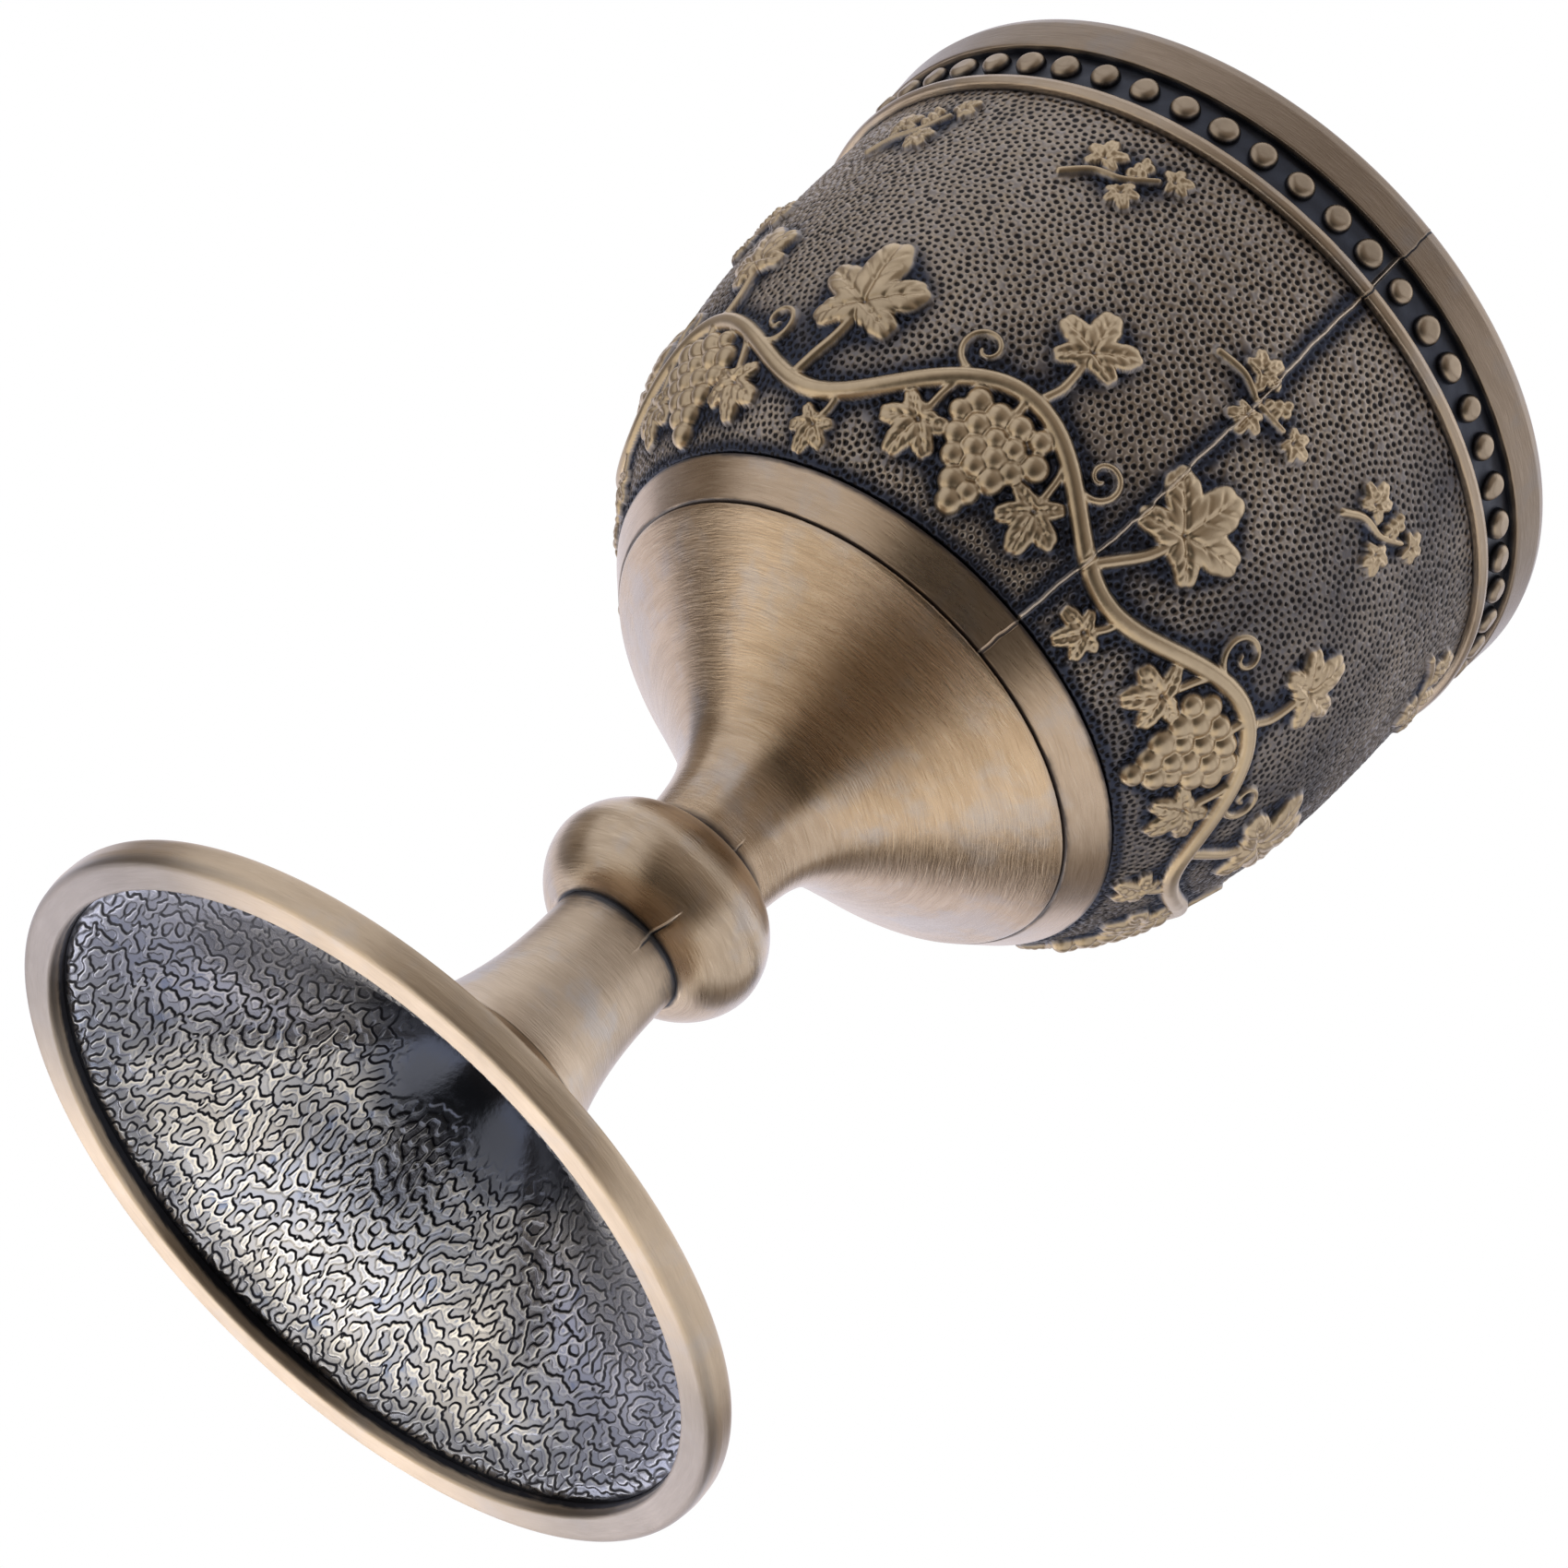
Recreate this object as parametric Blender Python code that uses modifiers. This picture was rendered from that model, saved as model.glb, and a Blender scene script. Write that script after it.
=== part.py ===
"""Footed metal wine goblet, built as the separate pieces it comes apart into.

Metres, +Z up.  The goblet stands on z = 0 with its axis on Z.
"""
import math

import bmesh
import bpy
from mathutils import Matrix, Vector

# ---------------------------------------------------------------- dimensions
MM = 0.001

HEIGHT = 110.0            # standing height
GAP = 0.3                 # clearance between neighbouring pieces

# foot
FOOT_R = 32.7             # outside of the foot ring
RING_IN_R = 29.8          # inside of the foot ring
RING_H = 2.9              # height of the foot ring
RING_ROUND = 0.9          # rounding of the ring's upper outer edge
STEP_UP = 1.5             # underside of the foot above the table
FOOT_EDGE_T = 1.0         # metal thickness at the edge of the foot
COLLAR_R = 8.1            # top of the foot, where the stem stands
COLLAR_Z = 15.9
FOOT_SWEEP = 1.5          # how sharply the foot turns up into the collar
FUNNEL_R = 7.3            # hollow running up through the foot
UNDER_SWEEP = 1.53        # how sharply the underside turns up into that hollow

# stem
STEM_FOOT_R = 7.9
STEM_WAIST_R = 5.7
STEM_TOP_Z = 30.6
STEM_FLARE = 2.6
STEM_MOUTH_R = 6.9        # hollow at the foot of the stem, which narrows to the pocket
STEM_MOUTH_Z = 20.2
STEM_HOLE_R = 4.8         # pocket that takes the washer and nut
STEM_SHELF_Z = 25.6       # roof of that pocket

# knop
KNOP_R = 9.72
KNOP_END_R = 5.7
KNOP_MID_Z = 35.8
KNOP_HALF_H = 4.9
KNOP_POWER = 1.8          # 2 would be a plain ellipse

# bowl cone, a trumpet that runs to a straight slope
CONE_NECK_R = 5.4
CONE_TURN_Z = 48.4
CONE_TURN_B = 2.95
CONE_SLOPE = 0.76
CONE_TOP_Z = 58.9
CONE_WALL = 1.7

# bands of the bowl, from the bottom up
BAND_Z0, BAND_Z1 = 59.4, 62.1
BAND_R0, BAND_R1 = 22.0, 24.5
SLEEVE_Z0, SLEEVE_Z1 = 62.4, 100.6
SLEEVE_R0, SLEEVE_R1 = 24.5, 32.8
SLEEVE_POWER = 3.6
SLEEVE_WALL = 1.2
RIDGE_Z0, RIDGE_Z1 = 100.9, 101.9
RIDGE_R = 33.65
GALLERY_Z0, GALLERY_Z1 = 102.2, 105.8
GALLERY_R = 32.9
BEADS = 55
BEAD_R = 1.12
BEAD_SINK = 0.3           # bead centre inside the gallery floor
SEAM_DEG = 9.5            # the bands' joint line, seen from the front (-Y)
LIP_Z0 = 106.1
LIP_R0, LIP_R1 = 33.75, 34.0
LIP_ROUND = 0.9
BANDS_IN_R = 31.5         # inside of the upper bands

# drinking cup inside the bands
CUP_R = 31.2
CUP_WALL = 0.9
CUP_TOP_Z = 109.2
CUP_FLOOR_Z = 61.4        # underside of the cup's floor
CUP_FLOOR_R = 22.6
CUP_POWER = 3.6

# tie rod with its washer and nut
ROD_R = 2.0
ROD_Z0 = 20.2
ROD_HEAD_R = 4.2
ROD_HEAD_H = 2.4
BORE_R = 2.3
WASHER_R = 4.4
WASHER_H = 0.8
NUT_FLATS = 7.0
NUT_H = 3.2

STEPS_LARGE = 48
STEPS_SMALL = 40
STEPS_ROD = 20

# ---------------------------------------------------------------- clean start
for old in list(bpy.data.objects):
    bpy.data.objects.remove(old, do_unlink=True)

scene = bpy.context.scene
parts = bpy.data.collections.new("wine_goblet")
cutters = bpy.data.collections.new("cutters")
scene.collection.children.link(parts)
scene.collection.children.link(cutters)

root = bpy.data.objects.new("goblet_axis", None)
root.empty_display_size = 0.02
parts.objects.link(root)


# ---------------------------------------------------------------- helpers
def metal(name, colour, roughness, metallic=1.0):
    mat = bpy.data.materials.new(name)
    mat.use_nodes = True
    bsdf = mat.node_tree.nodes["Principled BSDF"]
    bsdf.inputs["Base Color"].default_value = (*colour, 1.0)
    bsdf.inputs["Roughness"].default_value = roughness
    bsdf.inputs["Metallic"].default_value = metallic
    return mat


def turned(name, profile, steps, mat):
    """A turned piece: (r, z) profile in mm, run down its outside from the top.

    A profile that starts and ends on the axis closes itself there, any other
    profile is closed into a loop.
    """
    on_axis = profile[0][0] == 0.0 and profile[-1][0] == 0.0
    bm = bmesh.new()
    verts = [bm.verts.new((r * MM, 0.0, z * MM)) for r, z in profile]
    for a, b in zip(verts, verts[1:]):
        bm.edges.new((a, b))
    if not on_axis:
        bm.edges.new((verts[-1], verts[0]))
    mesh = bpy.data.meshes.new(name)
    bm.to_mesh(mesh)
    bm.free()
    obj = bpy.data.objects.new(name, mesh)
    parts.objects.link(obj)
    obj.parent = root
    obj.data.materials.append(mat)
    screw = obj.modifiers.new("Turn", "SCREW")
    screw.axis = "Z"
    screw.angle = 2.0 * math.pi
    screw.steps = steps
    screw.render_steps = steps
    screw.use_merge_vertices = True
    screw.merge_threshold = 0.00005
    screw.use_smooth_shade = True
    screw.use_normal_calculate = False
    return obj


def spread(start, stop, count):
    return [start + (stop - start) * i / (count - 1) for i in range(count)]


def arc(cr, cz, radius, deg0, deg1, count):
    """Points round a centre in the (r, z) plane, 0 degrees outward, 90 up."""
    return [(cr + radius * math.cos(math.radians(a)),
             cz + radius * math.sin(math.radians(a)))
            for a in spread(deg0, deg1, count)]


# ---------------------------------------------------------------- shape rules
def foot_top(r):
    """Height of the foot's upper face at radius r."""
    k = (RING_IN_R - GAP - r) / (RING_IN_R - GAP - COLLAR_R)
    low = STEP_UP + FOOT_EDGE_T
    return low + (COLLAR_Z - low) * max(k, 0.0) ** FOOT_SWEEP


def foot_under(r):
    """Height of the foot's underside at radius r."""
    k = (RING_IN_R - GAP - r) / (RING_IN_R - GAP - FUNNEL_R)
    return STEP_UP + (COLLAR_Z - STEP_UP) * max(k, 0.0) ** UNDER_SWEEP


def stem_r(z):
    k = (STEM_TOP_Z - z) / (STEM_TOP_Z - COLLAR_Z - GAP)
    return STEM_WAIST_R + (STEM_FOOT_R - STEM_WAIST_R) * max(k, 0.0) ** STEM_FLARE


def knop_r(z):
    k = min(abs(z - KNOP_MID_Z) / KNOP_HALF_H, 1.0)
    return KNOP_END_R + (KNOP_R - KNOP_END_R) * (1.0 - k ** KNOP_POWER) ** (1.0 / KNOP_POWER)


def cone_r(z):
    s = z - CONE_TURN_Z
    return CONE_NECK_R + CONE_SLOPE * (s + math.hypot(s, CONE_TURN_B))


def sleeve_r(z):
    k = (SLEEVE_Z1 - z) / (SLEEVE_Z1 - SLEEVE_Z0)
    return SLEEVE_R1 - (SLEEVE_R1 - SLEEVE_R0) * max(k, 0.0) ** SLEEVE_POWER


# ---------------------------------------------------------------- finishes
BRASS = (0.315, 0.245, 0.165)
DARK = (0.075, 0.078, 0.095)
m_ring = metal("foot_ring_brushed", (0.42, 0.34, 0.24), 0.38)
m_foot = metal("foot_antiqued", (0.27, 0.24, 0.2), 0.42)
m_stem = metal("stem_brushed", BRASS, 0.4)
m_knop = metal("knop_brushed", (0.30, 0.23, 0.15), 0.38)
m_cone = metal("cone_brushed", (0.30, 0.235, 0.155), 0.38)
m_band = metal("base_band_brushed", (0.33, 0.26, 0.18), 0.42)
m_sleeve = metal("sleeve_stippled", (0.235, 0.2, 0.16), 0.5)
m_ridge = metal("ridge_brushed", (0.33, 0.265, 0.185), 0.42)
m_gallery = metal("gallery_antiqued", DARK, 0.5)
m_lip = metal("lip_brushed", (0.29, 0.235, 0.175), 0.42)
m_cup = metal("cup_satin", (0.40, 0.325, 0.225), 0.35)
m_rod = metal("rod_steel", (0.42, 0.41, 0.39), 0.35)
m_nut = metal("nut_steel", (0.38, 0.37, 0.35), 0.38)
m_washer = metal("washer_steel", (0.44, 0.43, 0.41), 0.35)

# ---------------------------------------------------------------- foot ring
crown = arc(FOOT_R - RING_ROUND, RING_H - RING_ROUND, RING_ROUND, 90, 0, 5)
heel = arc(FOOT_R - 0.5, 0.5, 0.5, 0, -90, 4)
turned("foot_ring",
       crown + heel + [(RING_IN_R + 0.3, 0.0), (RING_IN_R, 0.3), (RING_IN_R, RING_H)],
       STEPS_LARGE, m_ring)

# ---------------------------------------------------------------- foot
edge_r = RING_IN_R - GAP
top_face = [(r, foot_top(r)) for r in
            [COLLAR_R + (edge_r - COLLAR_R) * (i / 9.0) ** 1.6 for i in range(10)]]
under_face = [(r, foot_under(r)) for r in
              [edge_r + (FUNNEL_R - edge_r) * (1.0 - (1.0 - i / 9.0) ** 1.6) for i in range(10)]]
turned("foot", top_face + under_face, STEPS_LARGE, m_foot)

# ---------------------------------------------------------------- stem column
stem_low = COLLAR_Z + GAP
turned("stem_column",
       [(stem_r(z), z) for z in spread(STEM_TOP_Z, stem_low, 8)]
       + [(STEM_HOLE_R + (STEM_MOUTH_R - STEM_HOLE_R) * (1.0 - k) ** 1.7,
           stem_low + (STEM_MOUTH_Z - stem_low) * k) for k in spread(0.0, 1.0, 5)]
       + [(STEM_HOLE_R, STEM_SHELF_Z), (BORE_R, STEM_SHELF_Z), (BORE_R, STEM_TOP_Z)],
       STEPS_SMALL, m_stem)

# ---------------------------------------------------------------- knop
angles = spread(90.0, -90.0, 13)
knop_line = []
for a in angles:
    z = KNOP_MID_Z + KNOP_HALF_H * math.sin(math.radians(a))
    knop_line.append((knop_r(z), z))
turned("knop",
       knop_line + [(BORE_R, KNOP_MID_Z - KNOP_HALF_H), (BORE_R, KNOP_MID_Z + KNOP_HALF_H)],
       STEPS_SMALL, m_knop)

# ---------------------------------------------------------------- bowl cone
cone_low = KNOP_MID_Z + KNOP_HALF_H + GAP
cone_floor = CONE_TURN_Z - 1.4
inside = [(cone_r(z) - CONE_WALL * 1.35, z) for z in spread(cone_floor + 3.2, CONE_TOP_Z, 5)]
turned("bowl_cone",
       [(cone_r(z), z) for z in spread(CONE_TOP_Z, cone_low, 12)]
       + [(BORE_R, cone_low), (BORE_R, cone_floor), (ROD_HEAD_R + 0.5, cone_floor)]
       + inside,
       STEPS_SMALL, m_cone)

# ---------------------------------------------------------------- base band
turned("base_band",
       [(BAND_R1, BAND_Z1)]
       + [(BAND_R0 + (BAND_R1 - BAND_R0) * k, BAND_Z0 + (BAND_Z1 - BAND_Z0) * k)
          for k in (0.9, 0.5, 0.1)]
       + [(BAND_R0, BAND_Z0), (BAND_R0 - 2.6, BAND_Z0), (BAND_R0 - 2.6, BAND_Z0 + 1.4),
          (CUP_FLOOR_R + 0.7, BAND_Z0 + 1.7), (CUP_FLOOR_R + 0.7, BAND_Z1)],
       STEPS_LARGE, m_band)

# ---------------------------------------------------------------- relief sleeve
sleeve_z = [SLEEVE_Z1 + (SLEEVE_Z0 - SLEEVE_Z1) * (1.0 - (1.0 - i / 11.0) ** 1.5)
            for i in range(12)]
turned("relief_sleeve",
       [(sleeve_r(z), z) for z in sleeve_z]
       + [(sleeve_r(z) - SLEEVE_WALL, z) for z in reversed(sleeve_z)],
       STEPS_LARGE, m_sleeve)

# ---------------------------------------------------------------- ridge ring
half = 0.5 * (RIDGE_Z1 - RIDGE_Z0)
turned("ridge_ring",
       arc(RIDGE_R - half, 0.5 * (RIDGE_Z0 + RIDGE_Z1), half, 90, -90, 6)
       + [(BANDS_IN_R, RIDGE_Z0), (BANDS_IN_R, RIDGE_Z1)],
       STEPS_LARGE, m_ridge)

# ---------------------------------------------------------------- bead gallery
gallery = turned("bead_gallery",
                 [(GALLERY_R, GALLERY_Z1), (GALLERY_R, GALLERY_Z0),
                  (BANDS_IN_R, GALLERY_Z0), (BANDS_IN_R, GALLERY_Z1)],
                 BEADS, m_gallery)
bm = bmesh.new()
mid = 0.5 * (GALLERY_Z0 + GALLERY_Z1)
for i in range(BEADS):
    a = math.radians(-90.0 + SEAM_DEG + (i + 0.5) * 360.0 / BEADS)
    at = Vector(((GALLERY_R - BEAD_SINK) * math.cos(a), (GALLERY_R - BEAD_SINK) * math.sin(a), mid)) * MM
    bmesh.ops.create_uvsphere(bm, u_segments=8, v_segments=6, radius=BEAD_R * MM,
                              matrix=Matrix.Translation(at) @ Matrix.Rotation(a, 4, "Z")
                              @ Matrix.Rotation(math.radians(90.0), 4, "Y"))
bead_mesh = bpy.data.meshes.new("bead_row")
bm.to_mesh(bead_mesh)
bm.free()
bead_row = bpy.data.objects.new("bead_row", bead_mesh)
cutters.objects.link(bead_row)
bead_row.hide_render = True
bead_row.display_type = "WIRE"
join = gallery.modifiers.new("Beads", "BOOLEAN")
join.operation = "UNION"
join.solver = "EXACT"
join.object = bead_row

# ---------------------------------------------------------------- lip band
turned("lip_band",
       arc(LIP_R1 - LIP_ROUND, HEIGHT - LIP_ROUND, LIP_ROUND, 90, 0, 5)
       + [(0.5 * (LIP_R0 + LIP_R1), 0.5 * (HEIGHT + LIP_Z0)), (LIP_R0, LIP_Z0 + 0.2),
          (LIP_R0 - 0.2, LIP_Z0), (BANDS_IN_R, LIP_Z0), (BANDS_IN_R, HEIGHT - 0.5),
          (BANDS_IN_R + 0.4, HEIGHT)],
       STEPS_LARGE, m_lip)


# ---------------------------------------------------------------- drinking cup
def cup_r(z):
    """Outside of the cup, which follows the sleeve and stands clear of it."""
    k = (SLEEVE_Z1 - z) / (SLEEVE_Z1 - CUP_FLOOR_Z)
    return CUP_R - (CUP_R - CUP_FLOOR_R) * max(k, 0.0) ** CUP_POWER


cup_z = [SLEEVE_Z1 + (CUP_FLOOR_Z - SLEEVE_Z1) * (1.0 - (1.0 - i / 8.0) ** 1.5) for i in range(9)]
outside = [(CUP_R, CUP_TOP_Z), (CUP_R, SLEEVE_Z1)]
outside += [(cup_r(z) - GAP, z) for z in cup_z[1:]]
floor_in = CUP_FLOOR_Z + CUP_WALL
inside = [(r - CUP_WALL, z) for r, z in reversed(outside) if z > floor_in + 0.6]
turned("drinking_cup",
       [(0.0, floor_in), (CUP_FLOOR_R - CUP_WALL - 1.2, floor_in)] + inside
       + outside + [(0.0, CUP_FLOOR_Z)],
       STEPS_LARGE, m_cup)

# ---------------------------------------------------------------- tie rod
head_low = cone_floor + GAP
turned("tie_rod",
       [(0.0, head_low + ROD_HEAD_H), (ROD_HEAD_R - 0.5, head_low + ROD_HEAD_H),
        (ROD_HEAD_R, head_low + ROD_HEAD_H - 0.5), (ROD_HEAD_R, head_low), (ROD_R, head_low),
        (ROD_R, ROD_Z0 + 0.5), (ROD_R - 0.5, ROD_Z0), (0.0, ROD_Z0)],
       STEPS_ROD, m_rod)

# ---------------------------------------------------------------- washer
washer_top = STEM_SHELF_Z - GAP
turned("washer",
       [(WASHER_R, washer_top), (WASHER_R, washer_top - WASHER_H),
        (BORE_R, washer_top - WASHER_H), (BORE_R, washer_top)],
       STEPS_ROD, m_washer)

# ---------------------------------------------------------------- nut
nut_top = washer_top - WASHER_H - GAP
bm = bmesh.new()
bmesh.ops.create_cone(bm, cap_ends=True, segments=6,
                      radius1=NUT_FLATS / math.sqrt(3.0) * MM,
                      radius2=NUT_FLATS / math.sqrt(3.0) * MM, depth=NUT_H * MM,
                      matrix=Matrix.Translation((0.0, 0.0, (nut_top - 0.5 * NUT_H) * MM)))
nut_mesh = bpy.data.meshes.new("nut")
bm.to_mesh(nut_mesh)
bm.free()
nut = bpy.data.objects.new("nut", nut_mesh)
parts.objects.link(nut)
nut.parent = root
nut.data.materials.append(m_nut)

bm = bmesh.new()
bmesh.ops.create_cone(bm, cap_ends=True, segments=STEPS_ROD, radius1=BORE_R * MM, radius2=BORE_R * MM,
                      depth=3.0 * NUT_H * MM,
                      matrix=Matrix.Translation((0.0, 0.0, (nut_top - 0.5 * NUT_H) * MM)))
bore_mesh = bpy.data.meshes.new("nut_bore")
bm.to_mesh(bore_mesh)
bm.free()
bore = bpy.data.objects.new("nut_bore", bore_mesh)
cutters.objects.link(bore)
bore.hide_render = True
bore.display_type = "WIRE"
cut = nut.modifiers.new("Bore", "BOOLEAN")
cut.operation = "DIFFERENCE"
cut.solver = "EXACT"
cut.object = bore
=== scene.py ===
import math

import bpy
import numpy as np
from mathutils import Matrix, Vector


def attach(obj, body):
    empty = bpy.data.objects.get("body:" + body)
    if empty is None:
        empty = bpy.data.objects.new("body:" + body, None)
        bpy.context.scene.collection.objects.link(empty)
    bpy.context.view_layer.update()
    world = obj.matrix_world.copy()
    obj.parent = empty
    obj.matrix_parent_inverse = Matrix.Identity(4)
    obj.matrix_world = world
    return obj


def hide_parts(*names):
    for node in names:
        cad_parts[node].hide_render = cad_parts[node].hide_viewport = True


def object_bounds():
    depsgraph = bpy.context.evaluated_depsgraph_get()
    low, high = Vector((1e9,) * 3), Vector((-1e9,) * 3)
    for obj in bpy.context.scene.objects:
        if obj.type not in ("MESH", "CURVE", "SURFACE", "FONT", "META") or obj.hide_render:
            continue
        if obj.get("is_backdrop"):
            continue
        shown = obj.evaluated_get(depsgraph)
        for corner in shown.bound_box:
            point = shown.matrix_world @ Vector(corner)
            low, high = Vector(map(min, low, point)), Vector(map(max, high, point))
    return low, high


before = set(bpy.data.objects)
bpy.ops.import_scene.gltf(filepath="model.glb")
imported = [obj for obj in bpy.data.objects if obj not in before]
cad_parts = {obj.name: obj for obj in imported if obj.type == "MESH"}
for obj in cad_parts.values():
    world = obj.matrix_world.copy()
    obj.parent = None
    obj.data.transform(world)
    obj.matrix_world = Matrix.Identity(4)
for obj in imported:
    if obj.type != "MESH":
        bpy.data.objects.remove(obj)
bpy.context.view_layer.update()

MM = 0.001
SEAM = math.radians(9.5)          # the bands' joint line, to the right of the front
rng = np.random.default_rng(20)

# ------------------------------------------------------------------ dimensions (mm), as in the solids
HEIGHT = 110.0
FOOT_R, RING_IN_R, RING_H = 32.7, 29.8, 2.9
STEP_UP, FOOT_EDGE_T = 1.5, 1.0
COLLAR_R, COLLAR_Z, FOOT_SWEEP, FUNNEL_R, UNDER_SWEEP = 8.1, 15.9, 1.5, 7.3, 1.53
STEM_FOOT_R, STEM_WAIST_R, STEM_TOP_Z, STEM_FLARE = 7.9, 5.7, 30.6, 2.6
STEM_MOUTH_R, STEM_MOUTH_Z, STEM_HOLE_R, STEM_SHELF_Z, BORE_R = 6.9, 20.2, 4.8, 25.6, 2.3
KNOP_R, KNOP_END_R, KNOP_MID_Z, KNOP_HALF_H, KNOP_POWER = 9.72, 5.7, 35.8, 4.9, 1.8
CONE_NECK_R, CONE_TURN_Z, CONE_TURN_B, CONE_SLOPE, CONE_TOP_Z = 5.4, 48.4, 2.95, 0.76, 58.9
BAND_Z0, BAND_Z1, BAND_R0, BAND_R1 = 59.4, 62.1, 22.0, 24.5
SLEEVE_Z0, SLEEVE_Z1, SLEEVE_R0, SLEEVE_R1, SLEEVE_POWER = 62.4, 100.6, 24.5, 32.8, 3.6
RIDGE_Z0, RIDGE_Z1, RIDGE_R = 100.9, 101.9, 33.65
GALLERY_Z0, GALLERY_Z1, GALLERY_R = 102.2, 105.8, 32.9
BEADS, BEAD_R = 55, 1.12
LIP_Z0, LIP_R0, LIP_R1 = 106.1, 33.75, 34.0
BANDS_IN_R = 31.5
CUP_R, CUP_WALL, CUP_TOP_Z, CUP_FLOOR_Z, CUP_FLOOR_R, CUP_POWER = 31.2, 0.9, 109.2, 61.4, 22.6, 3.6


def foot_top(r):
    k = np.clip((RING_IN_R - 0.3 - r) / (RING_IN_R - 0.3 - COLLAR_R), 0, None)
    low = STEP_UP + FOOT_EDGE_T
    return low + (COLLAR_Z - low) * k ** FOOT_SWEEP


def foot_under(r):
    k = np.clip((RING_IN_R - 0.3 - r) / (RING_IN_R - 0.3 - STEM_MOUTH_R - 0.03), 0, None)
    return STEP_UP + (COLLAR_Z - STEP_UP) * k ** UNDER_SWEEP


def stem_r(z):
    k = np.clip((STEM_TOP_Z - z) / (STEM_TOP_Z - COLLAR_Z - 0.3), 0, None)
    return STEM_WAIST_R + (STEM_FOOT_R - STEM_WAIST_R) * k ** STEM_FLARE


def knop_r(z):
    k = np.minimum(np.abs(z - KNOP_MID_Z) / KNOP_HALF_H, 1.0)
    return KNOP_END_R + (KNOP_R - KNOP_END_R) * (1.0 - k ** KNOP_POWER) ** (1.0 / KNOP_POWER)


def cone_r(z):
    s = z - CONE_TURN_Z
    return CONE_NECK_R + CONE_SLOPE * (s + np.hypot(s, CONE_TURN_B))


def sleeve_r(z):
    k = np.clip((SLEEVE_Z1 - z) / (SLEEVE_Z1 - SLEEVE_Z0), 0, None)
    return SLEEVE_R1 - (SLEEVE_R1 - SLEEVE_R0) * k ** SLEEVE_POWER


def cup_r(z):
    k = np.clip((SLEEVE_Z1 - z) / (SLEEVE_Z1 - CUP_FLOOR_Z), 0, None)
    return CUP_R - (CUP_R - CUP_FLOOR_R) * k ** CUP_POWER


def smooth(a, b, x):
    t = np.clip((x - a) / (b - a), 0.0, 1.0)
    return t * t * (3.0 - 2.0 * t)


# ------------------------------------------------------------------ mesh helpers
def fillet(points, n=5):
    """A closed (r, z) outline whose corners are rounded; each point is (r, z, radius)."""
    out = []
    m = len(points)
    for i in range(m):
        r, z, rad = points[i]
        p = np.array((r, z))
        a = np.array(points[i - 1][:2]) - p
        b = np.array(points[(i + 1) % m][:2]) - p
        la, lb = np.linalg.norm(a), np.linalg.norm(b)
        a, b = a / la, b / lb
        half = 0.5 * math.acos(float(np.clip(a @ b, -1, 1)))
        if rad <= 0 or half > 1.55:
            out.append(p)
            continue
        cut = min(rad / math.tan(half), 0.48 * la, 0.48 * lb)
        for k in range(n + 1):
            t = k / n
            out.append(p + a * cut * (1 - t) ** 2 + b * cut * t ** 2)
    return np.array(out)


def refine(line, step, closed=True):
    """Adds points along the straight runs of an outline, so that no run is longer than step."""
    out = []
    m = len(line)
    for i in range(m if closed else m - 1):
        p, q = line[i], line[(i + 1) % m]
        k = max(1, int(math.ceil(np.linalg.norm(q - p) / step)))
        for j in range(k):
            out.append(p + (q - p) * j / k)
    if not closed:
        out.append(line[-1])
    return np.array(out)


def columns(count, seam=False, fine=0.055, span=1.1):
    """Angles round the goblet, from the front; closer together at the joint line where asked."""
    th = np.arange(count) * 2 * math.pi / count
    if seam:
        near = SEAM + np.radians(np.arange(-span, span + 1e-9, fine))
        th = np.concatenate([th[np.abs((th - SEAM + math.pi) % (2 * math.pi) - math.pi)
                                > math.radians(span + 0.02)], near % (2 * math.pi)])
        th = np.sort(th)
    return th


def sheet_of_quads(rows, cols, close_rows):
    i = np.arange(rows if close_rows else rows - 1)
    j = np.arange(cols)
    ii, jj = np.meshgrid(i, j, indexing="ij")
    i2, j2 = (ii + 1) % rows, (jj + 1) % cols
    quads = np.stack([ii * cols + jj, i2 * cols + jj, i2 * cols + j2, ii * cols + j2], -1).reshape(-1, 4)
    return quads, ii.ravel(), jj.ravel()


def fill_mesh(mesh, co, faces, uv=None, attrs=None, mat_index=None):
    """Fills a mesh from arrays; faces all have the same number of corners."""
    k = faces.shape[1]
    n = len(faces)
    mesh.vertices.add(len(co))
    mesh.vertices.foreach_set("co", np.ascontiguousarray(co, np.float32).ravel())
    mesh.loops.add(n * k)
    mesh.loops.foreach_set("vertex_index", np.ascontiguousarray(faces, np.int32).ravel())
    mesh.polygons.add(n)
    mesh.polygons.foreach_set("loop_start", np.arange(0, n * k, k, dtype=np.int32))
    mesh.polygons.foreach_set("loop_total", np.full(n, k, np.int32))
    mesh.polygons.foreach_set("use_smooth", np.ones(n, bool))
    if mat_index is not None:
        mesh.polygons.foreach_set("material_index", np.ascontiguousarray(mat_index, np.int32))
    mesh.update(calc_edges=True)
    if uv is not None:
        layer = mesh.uv_layers.new(name="UVMap")
        layer.data.foreach_set("uv", np.ascontiguousarray(uv, np.float32).ravel())
    for name, val in (attrs or {}).items():
        a = mesh.attributes.new(name, "FLOAT", "POINT")
        a.data.foreach_set("value", np.ascontiguousarray(val, np.float32).ravel())
    mesh.validate()


def add_piece(name, mesh, mats, node):
    ob = bpy.data.objects.new(name, mesh)
    bpy.context.scene.collection.objects.link(ob)
    for m in mats:
        mesh.materials.append(m)
    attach(ob, "root")
    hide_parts(node)
    return ob


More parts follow.
